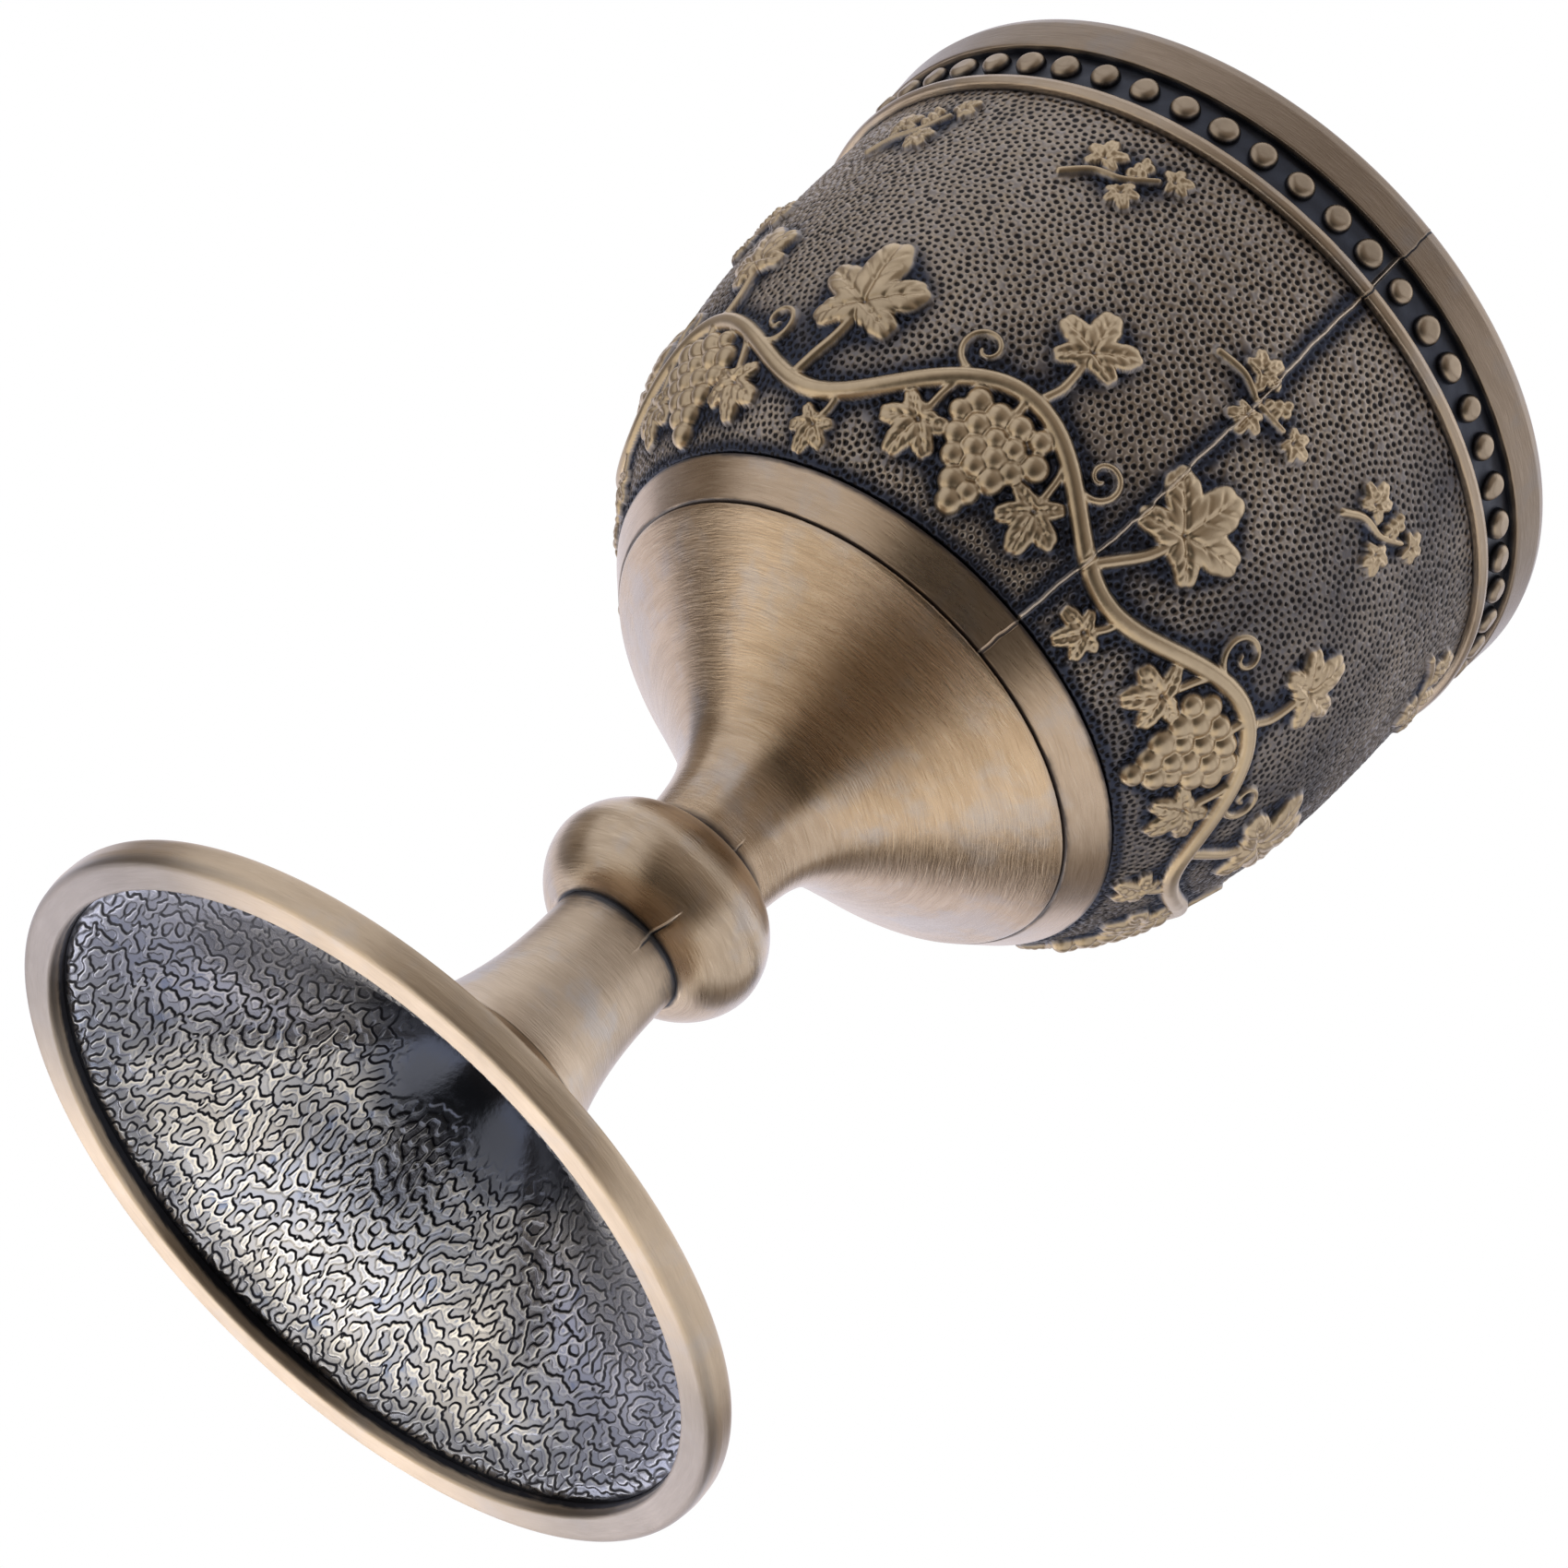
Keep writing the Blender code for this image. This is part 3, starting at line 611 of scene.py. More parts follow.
def stamp(cx, cy, reach, shape):
    """Draws shape(x, y) -> (height, mask) round the point (cx deg from the front, cy mm up the wall)."""
    r_here = float(np.interp(np.interp(cy, wall, zs), zs, sleeve_r(zs)))
    half_w = int(reach / r_here * REF_R / PIX) + 2
    half_h = int(reach / PIX) + 2
    c = int(round(math.radians(cx) % (2 * math.pi) * REF_R / PIX))
    r0 = int(round(cy / PIX))
    ys = np.arange(max(0, r0 - half_h), min(BH, r0 + half_h))
    xs = np.arange(c - half_w, c + half_w)
    if not len(ys):
        return
    x = ((xs - math.radians(cx) % (2 * math.pi) * REF_R / PIX) * PIX * r_here / REF_R)[None, :]
    y = (ys * PIX - cy)[:, None]
    h, m = shape(x, y)
    sel = np.ix_(ys, xs % BW)
    board_h[sel] = np.maximum(board_h[sel], h)
    board_m[sel] = np.maximum(board_m[sel], m)


def leaf(size, turn, height, seed):
    """A five-lobed vine leaf with toothed edges and sunk veins; turn is where its tip points, in degrees from up."""
    r = np.random.default_rng(seed)
    lobes = [(0.0, 1.0, 0.64), (1.02, 0.88, 0.62), (-1.02, 0.88, 0.62), (2.05, 0.70, 0.62), (-2.05, 0.70, 0.62)]
    lobes = [(a + r.normal() * 0.05, l * (1 + r.normal() * 0.035), w) for a, l, w in lobes]

    def shape(x, y):
        t = math.radians(turn)
        u = x * math.cos(t) - y * math.sin(t)
        v = x * math.sin(t) + y * math.cos(t)
        ang = np.arctan2(u, v)
        rho = np.hypot(u, v)
        edge = 0.40 + np.zeros_like(ang)
        for a, l, w in lobes:
            dd = np.abs((ang - a + math.pi) % (2 * math.pi) - math.pi)
            edge = np.maximum(edge, l * (1.0 - 0.60 * (dd / w) ** 2))
        edge = edge * (1.0 - 0.50 * np.exp(-((np.abs(ang) - math.pi) / 0.22) ** 2))
        edge = size * edge * (0.98 + 0.06 * np.abs(np.sin(ang * 9.0 + 0.4)))
        k = rho / np.maximum(edge, 1e-6)
        body = np.clip(1.0 - k ** 5, 0, 1) ** 0.5
        h = height * body * (0.82 + 0.30 * np.clip(k * (1.15 - k), 0, 1) * 2.0)
        for a, l, w in lobes:
            ca, sa = math.sin(a), math.cos(a)
            along = u * ca + v * sa
            cross = u * sa - v * ca
            vein = np.exp(-(cross / 0.20) ** 2) * (along > 0) * smooth(1.0, 0.80, along / (size * l))
            h = h - 0.30 * height * vein * body
            for q0 in (0.32, 0.58):
                q = along - q0 * size * l
                for sg in (1, -1):
                    side = np.exp(-((cross * sg - q * 0.9) / 0.17) ** 2) * (q > 0) * (q < 0.26 * size * l)
                    h = h - 0.15 * height * side * body
        return np.clip(h, 0, None), smooth(1.03, 0.92, k)
    return size * 1.2, shape


def grape(size, height):
    def shape(x, y):
        k = np.hypot(x, y) / size
        h = height * np.sqrt(np.clip(1.0 - k * k, 0, 1))
        return h, smooth(1.05, 0.92, k)
    return size * 1.2, shape


def put_leaf(deg, up, size, turn, height, seed):
    reach, shape = leaf(size, turn, height, seed)
    stamp(deg, up, reach, shape)


def put_bunch(deg, up, rows, size, height, seed):
    """A hanging bunch: closely packed rows of berries, the given number in each row from the top."""
    r = np.random.default_rng(seed)
    r_here = float(np.interp(np.interp(up, wall, zs), zs, sleeve_r(zs)))
    for i, n in enumerate(rows):
        for j in range(n):
            x = (j - (n - 1) / 2) * size * 1.66 + r.normal() * 0.10 * size
            y = up - i * size * 1.38 + r.normal() * 0.10 * size
            bulge = 0.80 + 0.28 * (1.0 - (abs(j - (n - 1) / 2) / max(1.0, n / 2)) ** 2)
            reach, shape = grape(size * (1 + 0.06 * r.normal()), height * bulge)
            stamp(deg + math.degrees(x / r_here), y, reach, shape)


def put_stroke(points, width, height, taper=0.0):
    """A half-round stalk along (deg, up) points."""
    pts = np.array(points, float)
    fine = np.linspace(0, len(pts) - 1, (len(pts) - 1) * 14 + 1)
    k = np.arange(len(pts))
    # smooth curve through the points
    def through(v):
        i = np.clip(np.floor(fine).astype(int), 0, len(v) - 2)
        t = fine - i
        p0, p1, p2, p3 = v[np.maximum(i - 1, 0)], v[i], v[i + 1], v[np.minimum(i + 2, len(v) - 1)]
        return 0.5 * (2 * p1 + (p2 - p0) * t + (2 * p0 - 5 * p1 + 4 * p2 - p3) * t ** 2 + (3 * p1 - p0 - 3 * p2 + p3) * t ** 3)
    ax, ay = through(pts[:, 0]), through(pts[:, 1])
    for i, (a, b) in enumerate(zip(ax, ay)):
        w = width * (1.0 - taper * i / (len(ax) - 1))
        reach, shape = grape(w, height * (0.6 + 0.4 * w / width))
        stamp(a, b, reach, shape)


def put_tendril(deg, up, size, turn, way, width=0.30, height=0.34):
    pts = []
    r_here = float(np.interp(np.interp(up, wall, zs), zs, sleeve_r(zs)))
    for i in range(22):
        t = i / 21.0
        ang = math.radians(turn) + way * t * 7.6
        rad = size * (1.0 - 0.86 * t)
        x = size * math.cos(math.radians(turn)) - rad * math.cos(ang)
        y = size * math.sin(math.radians(turn)) - rad * math.sin(ang)
        pts.append((deg + math.degrees(x / r_here), up + y))
    put_stroke(pts, width, height, 0.45)


# the vine that climbs round the lower part of the bowl
WAVES = 6
wave_deg = 360.0 / WAVES
START = -29.0


def vine_up(deg):
    return 9.2 + 3.3 * math.sin(math.radians((deg - START) * WAVES)) + 0.4 * math.sin(math.radians((deg - START) * 3 + 40))


put_stroke([(START + i * 360.0 / 144, vine_up(START + i * 360.0 / 144)) for i in range(145)], 0.82, 0.84)
for i in range(WAVES):
    c = START + i * wave_deg
    hi, lo = c + wave_deg * 0.25, c + wave_deg * 0.75
    sway = math.sin(i * 2.1)
    # from the low point of the wave a large leaf stands up on its stalk
    put_stroke([(lo - 6, vine_up(lo - 6)), (lo - 3.6, vine_up(lo) + 2.6), (lo - 1.2, vine_up(lo) + 4.8), (lo, vine_up(lo) + 7.2)], 0.52, 0.62)
    put_leaf(lo, vine_up(lo) + 7.9, 6.0, 6 + 9 * sway, 0.88, 200 + i)
    # and a smaller leaf hangs from it
    put_stroke([(lo + 4.5, vine_up(lo + 4.5)), (lo + 3.8, vine_up(lo) - 1.2), (lo + 2.6, vine_up(lo) - 2.2)], 0.40, 0.5)
    put_leaf(lo + 2.2, vine_up(lo) - 2.6, 2.7, 206 + 12 * sway, 0.70, 260 + i)
    # under the high point a bunch hangs between two leaves
    put_stroke([(hi + 0.4, vine_up(hi)), (hi + 0.6, vine_up(hi) - 1.3), (hi + 0.5, vine_up(hi) - 2.4)], 0.46, 0.6)
    put_bunch(hi + 0.5, vine_up(hi) - 2.5, (4, 5, 4, 3, 2, 1), 1.10, 1.0, 100 + i)
    put_stroke([(hi - 9.0, vine_up(hi - 9.0)), (hi - 10.2, vine_up(hi - 9.0) - 1.6), (hi - 11.0, vine_up(hi - 11.0) - 3.4)], 0.40, 0.5)
    put_leaf(hi - 11.2, vine_up(hi - 11.2) - 4.0, 3.8, 196 + 12 * sway, 0.76, 300 + i)
    put_stroke([(hi + 9.6, vine_up(hi + 9.6)), (hi + 11.4, vine_up(hi + 9.6) - 1.6), (hi + 12.0, vine_up(hi + 12.0) - 3.4)], 0.40, 0.5)
    put_leaf(hi + 12.2, vine_up(hi + 12.2) - 4.1, 3.6, 166 - 12 * sway, 0.74, 350 + i)
    # above the high point a leaf and two curls
    put_stroke([(hi + 1.5, vine_up(hi + 1.5)), (hi + 3.2, vine_up(hi) + 2.2), (hi + 3.0, vine_up(hi) + 5.2)], 0.44, 0.52)
    put_leaf(hi + 3.0, vine_up(hi) + 6.0, 4.4, -10 + 12 * sway, 0.80, 400 + i)
    put_tendril(hi - 7.5, vine_up(hi - 7.5) + 0.3, 2.2, 112, -1, 0.38, 0.48)
    put_tendril(hi + 14.0, vine_up(hi + 14.0) + 0.3, 2.0, 58, 1, 0.38, 0.48)


def put_sprig(deg, up, turn, scale, seed):
    """A loose cut sprig: a bent stalk with three leaves and a few berries."""
    r = np.random.default_rng(seed)
    r_here = float(np.interp(np.interp(up, wall, zs), zs, sleeve_r(zs)))
    t = math.radians(turn)

    def at(x, y):
        return (deg + math.degrees((x * math.cos(t) + y * math.sin(t)) / r_here), up - x * math.sin(t) + y * math.cos(t))
    s = scale
    put_stroke([at(-4.6 * s, -0.8 * s), at(-2.2 * s, 0.1 * s), at(0.3 * s, -0.1 * s), at(3.0 * s, 0.8 * s)], 0.44 * s, 0.55, 0.35)
    put_leaf(*at(-1.7 * s, 1.5 * s), 2.35 * s, turn + 4 + r.normal() * 6, 0.74, seed + 1)
    put_leaf(*at(0.6 * s, -1.5 * s), 2.05 * s, turn + 160 + r.normal() * 6, 0.70, seed + 2)
    put_leaf(*at(4.1 * s, 1.1 * s), 1.9 * s, turn + 74 + r.normal() * 6, 0.68, seed + 3)
    for x0, y0 in ((0.7, 0.75), (1.55, 0.95), (1.1, 1.5), (1.95, 1.7), (1.5, 2.25)):
        x, y = at(x0 * s, y0 * s)
        reach, shape = grape(0.52 * s, 0.70)
        stamp(x, y, reach, shape)


SPRIGS = 11
for i in range(SPRIGS):
    put_sprig(-26.0 + i * 360.0 / SPRIGS + 3.5 * math.sin(i * 2.3), (34.2, 25.6, 30.0, 35.0, 26.8)[i % 5] + 0.6 * math.sin(i * 1.9),
              (-16, 14, -24, 8)[i % 4], 1.0 + 0.10 * math.sin(i * 3.1), 500 + 10 * i)


def blur(a, sigma):
    """Soft spread of a board; it wraps round the axis and is mirrored up and down."""
    pad = np.concatenate([a[::-1], a, a[::-1]])
    fy = np.fft.fftfreq(pad.shape[0])[:, None]
    fx = np.fft.rfftfreq(pad.shape[1])[None, :]
    k = np.exp(-2 * (math.pi * sigma / PIX) ** 2 * (fx ** 2 + fy ** 2))
    out = np.fft.irfft2(np.fft.rfft2(pad) * k, s=pad.shape)
    return out[a.shape[0]:2 * a.shape[0]].astype(np.float32)


board_h = np.maximum(blur(board_h, 0.07), 0)
board_m = np.clip(blur(board_m, 0.08), 0, 1)
near = blur(board_m, 1.3)
wide = blur(board_m, 3.2)
board_halo = np.clip(near * 1.55 + 0.55 * wide, 0, 1) * (1 - board_m)
# the ground darkens along both edges of the sleeve, more widely at the lower edge
upb = (np.arange(BH) * PIX)[:, None]
board_halo = np.maximum(board_halo, 0.85 * np.exp(-(upb / 1.6) ** 2))
board_halo = np.maximum(board_halo, 0.60 * np.exp(-((LENGTH - upb) / 1.0) ** 2))

# stippled ground: small round pits, evenly but loosely spread
PIT = 0.75
n_th = int(round(2 * math.pi * REF_R / PIT))
n_up = int(math.ceil(LENGTH / (PIT * 0.87))) + 2
around = n_th * (2 * math.pi * REF_R / n_th)
pit_x = (np.arange(n_th)[None, :] + 0.5 * (np.arange(n_up)[:, None] % 2)) * (around / n_th) + rng.normal(size=(n_up, n_th)) * 0.26
pit_y = np.arange(n_up)[:, None] * PIT * 0.87 + rng.normal(size=(n_up, n_th)) * 0.26
pit_r = 0.215 * (1 + 0.13 * rng.normal(size=(n_up, n_th)))
for _ in range(14):                          # neighbours push one another apart
    mx, my = np.zeros_like(pit_x), np.zeros_like(pit_y)
    for dr in (-2, -1, 0, 1, 2):
        for dc in (-2, -1, 0, 1, 2):
            if dr == 0 and dc == 0:
                continue
            ox, oy = np.roll(pit_x, (dr, dc), (0, 1)), np.roll(pit_y, (dr, dc), (0, 1))
            ddx = (pit_x - ox + 0.5 * around) % around - 0.5 * around
            ddy = pit_y - oy
            far_row = np.abs(ddy) > 4.0
            dd = np.hypot(ddx, ddy) + 1e-6
            push = np.clip(PIT * 0.97 - dd, 0, None) * ~far_row * 0.30 / dd
            mx += ddx * push
            my += ddy * push
    pit_x, pit_y = pit_x + mx, pit_y + my


def pits(ang, up):
    """Distance from the middle of the nearest pit, in pit radii."""
    best = np.full(np.broadcast(ang, up).shape, 3.0, np.float32)
    row0 = np.floor(up / (PIT * 0.87)).astype(int)
    for dr in (-1, 0, 1, 2):
        row = row0 + dr
        ok = (row >= 0) & (row < n_up)
        rw = np.clip(row, 0, n_up - 1)
        col0 = np.floor(ang / (2 * math.pi) * n_th - 0.5 * (rw % 2)).astype(int)
        for dc in (-1, 0, 1, 2):
            cw = (col0 + dc) % n_th
            x = (ang * REF_R - pit_x[rw, cw] + 0.5 * around) % around - 0.5 * around
            y = up - pit_y[rw, cw]
            k = np.hypot(x, y) / pit_r[rw, cw]
            best = np.minimum(best, np.where(ok, k, 3.0))
    return best


th = columns(1440, True, 0.06, 1.0)
n_out = 300
up_rows = np.linspace(LENGTH, 0.0, n_out)
z_rows = np.interp(up_rows, wall, zs)
r_rows = sleeve_r(z_rows)
slope = np.gradient(r_rows, z_rows)
nr = 1.0 / np.hypot(1.0, slope)
nz = -slope * nr
A, U = np.meshgrid(th, up_rows)


def read(board):
    x = A * REF_R / PIX
    y = np.clip(U / PIX, 0, BH - 1.001)
    x0, y0 = np.floor(x).astype(int), np.floor(y).astype(int)
    fx, fy = x - x0, y - y0
    x0, x1 = x0 % BW, (x0 + 1) % BW
    return ((board[y0, x0] * (1 - fx) + board[y0, x1] * fx) * (1 - fy)
            + (board[y0 + 1, x0] * (1 - fx) + board[y0 + 1, x1] * fx) * fy)


fig_h, fig_m, halo = read(board_h), read(board_m), read(board_halo)
pit_k = pits(A, U) + 2.2 * smooth(0.05, 0.40, fig_m)
d = ((A - SEAM + math.pi) % (2 * math.pi) - math.pi) * r_rows[:, None]
d = d + 0.08 * np.sin(U * 0.42) + 0.035 * np.sin(U * 1.7 + 1.0) + 0.012 * np.sin(U * 5.1)
rib = np.exp(-(d / 0.13) ** 2)
trough = np.exp(-((np.abs(d) - 0.34) / 0.20) ** 2)
halo = np.maximum(halo, 0.97 * np.exp(-(np.abs(d) / 1.7) ** 2) * (1 - 0.65 * fig_m))
# painted shade: the ground is darker towards the right-hand side of the sleeve
halo = np.maximum(halo, 0.50 * smooth(0.15, 0.55, np.sin(A)) * (1 - fig_m))
pit_k = np.minimum(pit_k + 1.2 * np.exp(-(d / 0.45) ** 2), 3.0)
pit = np.exp(-0.6 * pit_k ** 3)
pebble = 0.02 * np.sin(A * 190 + 3 * np.sin(U * 1.7)) * np.sin(U * 6.3 + 2 * np.sin(A * 41))
h = fig_h + (1 - fig_m) * pebble - 0.19 * pit + 0.20 * rib - 0.07 * trough
edge_fade = smooth(0.0, 0.5, U) * smooth(0.0, 0.4, LENGTH - U)
h = h * edge_fade - 0.22 * np.exp(-(U / 0.16) ** 2) - 0.15 * np.exp(-((LENGTH - U) / 0.16) ** 2)
R_out = r_rows[:, None] + h * nr[:, None]
Z_out = z_rows[:, None] + h * nz[:, None]
n_in = 14
z_in = np.linspace(SLEEVE_Z0 - 0.1, SLEEVE_Z1 + 0.2, n_in)
R_in = np.repeat((sleeve_r(z_in) - 1.2)[:, None], len(th), 1)
Z_in = np.repeat(z_in[:, None], len(th), 1)
crest = smooth(0.10, 0.42, fig_h) * fig_m
zero_in = np.zeros_like(R_in)
attrs = {"top": np.concatenate([crest, zero_in]),
         "cav": np.concatenate([pit_k, zero_in + 3.0]),
         "halo": np.concatenate([halo * (1 - 0.9 * crest), zero_in + 1.0]),
         "joint": np.concatenate([np.clip(rib * 1.1, 0, 1) * (1 - 0.5 * fig_m), zero_in])}
turned("relief_sleeve", "relief_sleeve", [m_sleeve],
       np.concatenate([R_out, R_in]), np.concatenate([Z_out, Z_in]), th, attrs)

# ------------------------------------------------------------------ base band
line = refine(fillet([(BAND_R1 + 0.02, BAND_Z1 + 0.12, 0.28), (BAND_R0 + 0.02, BAND_Z0 - 0.10, 0.22), (BAND_R0 - 2.4, BAND_Z0 - 0.10, 0.1),
                      (BAND_R0 - 2.4, BAND_Z0 + 1.3, 0.1), (CUP_FLOOR_R + 0.7, BAND_Z0 + 1.7, 0.1), (CUP_FLOOR_R + 0.7, BAND_Z1 + 0.12, 0.1)], 6), 0.22)
cav = np.maximum(ends(line, [(BAND_R1 - 0.30, BAND_Z1 + 0.12)], 0.50), ends(line, [(BAND_R0 - 0.30, BAND_Z0 - 0.10)], 0.42))
cav = np.maximum(cav, 0.28 * ends(line, [(BAND_R1, BAND_Z1), (BAND_R0, BAND_Z0)], 0.6))
plain_turn("base_band", "base_band", [m_band], line, columns(320, True), {"cav": cav}, seam=0.09, wobble=0.02, seam_light=0.35)

# ------------------------------------------------------------------ bowl cone
cone_low = KNOP_MID_Z + KNOP_HALF_H - 0.05
zc = np.linspace(CONE_TOP_Z + 0.12, cone_low, 120)
outer = np.stack([cone_r(zc), zc], -1)
shoulder = fillet([tuple(outer[6]) + (0,), (cone_r(CONE_TOP_Z + 0.36), CONE_TOP_Z + 0.36, 0.36), (18.8, CONE_TOP_Z + 0.36, 0)], 6)[1:-1][::-1]
inner = np.stack([np.linspace(BORE_R, 18.6, 24), cone_low + 6.3 + np.linspace(0, 1, 24) ** 0.8 * 11.3], -1)
line = np.concatenate([[[18.8, CONE_TOP_Z + 0.36]], shoulder, outer[7:], [[BORE_R, cone_low]], inner])
line = refine(line, 0.6)
cav = 0.8 * ends(line, [(cone_r(CONE_TOP_Z) - 0.25, CONE_TOP_Z + 0.40)], 0.34)
low = line[:, 1] - cone_low
# darker at the foot of the cone, next to the knop, fading out over about 3 mm
cav = np.maximum(cav, (0.60 * np.exp(-(low / 0.75) ** 2) + 0.45 * np.exp(-(low / 1.6) ** 2)) * (low < 5))
seam_rows = smooth(2.3, 0.5, low)
plain_turn("bowl_cone", "bowl_cone", [m_cone], line, columns(320, True), {"cav": cav}, seam=0.06, wobble=0.02, seam_rows=seam_rows, seam_light=0.3)

# ------------------------------------------------------------------ knop
ang = np.linspace(90, -90, 64)
zk = KNOP_MID_Z + (KNOP_HALF_H + 0.02) * np.sin(np.radians(ang))
line = np.concatenate([np.stack([knop_r(zk), zk], -1), [[BORE_R, zk[-1]]], [[BORE_R, zk[0]]]])
line = refine(line, 0.5)
lowz, highz = zk[-1], zk[0]
corner = [(KNOP_END_R - 0.1, lowz), (KNOP_END_R - 0.1, highz)]
cav = np.maximum(ends(line, corner, 0.36), 0.45 * ends(line, corner[:1], 1.4))
seam_rows = smooth(lowz + 1.9, lowz + 0.5, line[:, 1]) * (line[:, 0] > 4.0)
# painted highlight: the knop's upper shoulder is paled and roughened
wear_and_painted_sheen = smooth(KNOP_MID_Z + 2.6, KNOP_MID_Z + 4.3, line[:, 1]) * (line[:, 0] > KNOP_END_R - 0.2)
plain_turn("knop", "knop", [m_knop], line, columns(300, True), {"cav": cav, "joint": wear_and_painted_sheen[:, None]}, seam=0.07, wobble=0.03, seam_rows=seam_rows)

# ------------------------------------------------------------------ stem column
zs_ = np.linspace(STEM_TOP_Z + 0.35, COLLAR_Z + 0.04, 70)
t = np.concatenate([[0.0, 0.006], np.linspace(0, 1, 26)[1:]])
mouth = np.stack([STEM_HOLE_R + (STEM_MOUTH_R + 0.14 - STEM_HOLE_R) * (1 - t) ** 2.06, COLLAR_Z + (STEM_MOUTH_Z - COLLAR_Z) * t], -1)
line = np.concatenate([np.stack([stem_r(zs_), zs_], -1), mouth, [[STEM_HOLE_R, STEM_SHELF_Z], [BORE_R, STEM_SHELF_Z], [BORE_R, STEM_TOP_Z + 0.35]]])
line = refine(line, 0.5)
low, high = line[:, 1] - COLLAR_Z - 0.04, STEM_TOP_Z + 0.35 - line[:, 1]
cav = np.maximum(0.60 * np.exp(-(high / 0.5) ** 2) + 0.50 * np.exp(-(high / 2.8) ** 2), 0.45 * np.exp(-(low / 0.3) ** 2))
within = line[:, 0] < np.minimum(stem_r(line[:, 1]) - 0.35, STEM_MOUTH_R + 0.37)
seam_rows = smooth(STEM_TOP_Z - 2.6, STEM_TOP_Z - 0.5, line[:, 1]) * (~within)
cav = np.where(within, 0.0, cav)
# the hollow inside takes the crackle material, darkened with painted shade
plain_turn("stem_column", "stem_column", [m_stem, m_crackle], line, columns(280, True),
           {"cav": cav, "halo": 1.0 * within, "shade": 0.9 * within, "field": 3.0 * within},
           seam=0.08, wobble=0.03, seam_rows=seam_rows, row_mat=1 * within)

# ------------------------------------------------------------------ foot: brushed above, crackled below
edge_r = RING_IN_R - 0.06
rt = COLLAR_R + (edge_r - COLLAR_R) * np.linspace(0, 1, 60) ** 1.5
upper = np.stack([rt, foot_top(rt)], -1)
ru = edge_r + (STEM_MOUTH_R + 0.03 - edge_r) * np.linspace(0, 1, 190)
# rows are spread by distance along the underside, so that the crackle is even
zz = foot_under(ru)
dist = np.concatenate([[0], np.cumsum(np.hypot(np.diff(ru), np.diff(zz)))])
even = np.linspace(0, dist[-1], 310)
ru, zz = np.interp(even, dist, ru), np.interp(even, dist, zz)
# the hollow runs on up into the stem as a thin lining
t = np.linspace(0, 1, 34)[1:]
lining = np.stack([STEM_HOLE_R - 0.06 + (STEM_MOUTH_R + 0.09 - STEM_HOLE_R) * (1 - t) ** 2.06, COLLAR_Z + (STEM_MOUTH_Z + 0.3 - COLLAR_Z) * t], -1)
back = lining[::-4] + [0.035, 0.0]
ru = np.concatenate([ru, lining[:, 0], back[:, 0], [ru[-1] + 0.04]])
zz = np.concatenate([zz, lining[:, 1], back[:, 1], [zz[-1] + 0.012]])
even = np.concatenate([even, np.full(len(ru) - len(even), even[-1])])
th = columns(1800)
# crackle board: band-passed noise, drawn out a little from front to back
CN, CW, CRACK_F, CRACK_TALL = 1536, 70.0, 1.05, 1.22
f = np.fft.fftfreq(CN, CW / CN)
FX, FY = np.meshgrid(f, f)


def band(centre, spread, seed, tall=1.0):
    w = np.random.default_rng(seed).normal(size=(CN, CN))
    out = np.fft.ifft2(np.fft.fft2(w) * np.exp(-((np.hypot(FX, FY * tall) - centre) / spread) ** 2)).real
    return out / out.std()


field = band(CRACK_F, 0.30, 7, CRACK_TALL) + 0.22 * band(2.1 * CRACK_F, 0.4 * CRACK_F, 9, CRACK_TALL)
warp = band(0.12, 0.1, 8)
# as an angle, 0 at an island's edge and a quarter turn in its middle, so that all edges are equally wide
down, across = np.gradient(np.pad(field, 1, mode="wrap"), CW / CN)
down, across = down[1:-1, 1:-1], across[1:-1, 1:-1]
steep = np.hypot(down, across)
field = np.arctan2(2 * math.pi * CRACK_F * (field - 0.05), steep + 0.25)
side = smooth(-0.70, -0.05, -down / (steep + 0.3))
bump_b = 0.085 * smooth(-0.70, 0.80, field)


def on_foot(board, x, y):
    gx, gy = x / CW * CN, y / CW * CN
    x0, y0 = np.floor(gx).astype(int), np.floor(gy).astype(int)
    fx, fy = gx - x0, gy - y0
    x0, y0, x1, y1 = x0 % CN, y0 % CN, (x0 + 1) % CN, (y0 + 1) % CN
    return (board[y0, x0] * (1 - fx) + board[y0, x1] * fx) * (1 - fy) + (board[y1, x0] * (1 - fx) + board[y1, x1] * fx) * fy


TH, RU = np.meshgrid(th, ru)
# the islands are drawn out from front to back
X = RU * np.sin(TH)
Y = 0.44 * RU * np.cos(TH) + 0.62 * zz[:, None]
throat = smooth(9.7, 7.5, RU + 0.45 * on_foot(warp, X, Y))
amp = (1 - throat) * smooth(0.0, 0.7, even[:, None])
hgt = on_foot(bump_b, X, Y) * amp
tang = np.stack([np.gradient(ru), np.gradient(zz)], -1)
tang /= np.linalg.norm(tang, axis=1, keepdims=True) + 1e-9
nor = np.stack([-tang[:, 1], tang[:, 0]], -1)
if nor[5, 1] > 0:
    nor = -nor
R_u = RU + hgt * nor[:, :1]
Z_u = np.repeat(zz[:, None], len(th), 1) + hgt * nor[:, 1:]
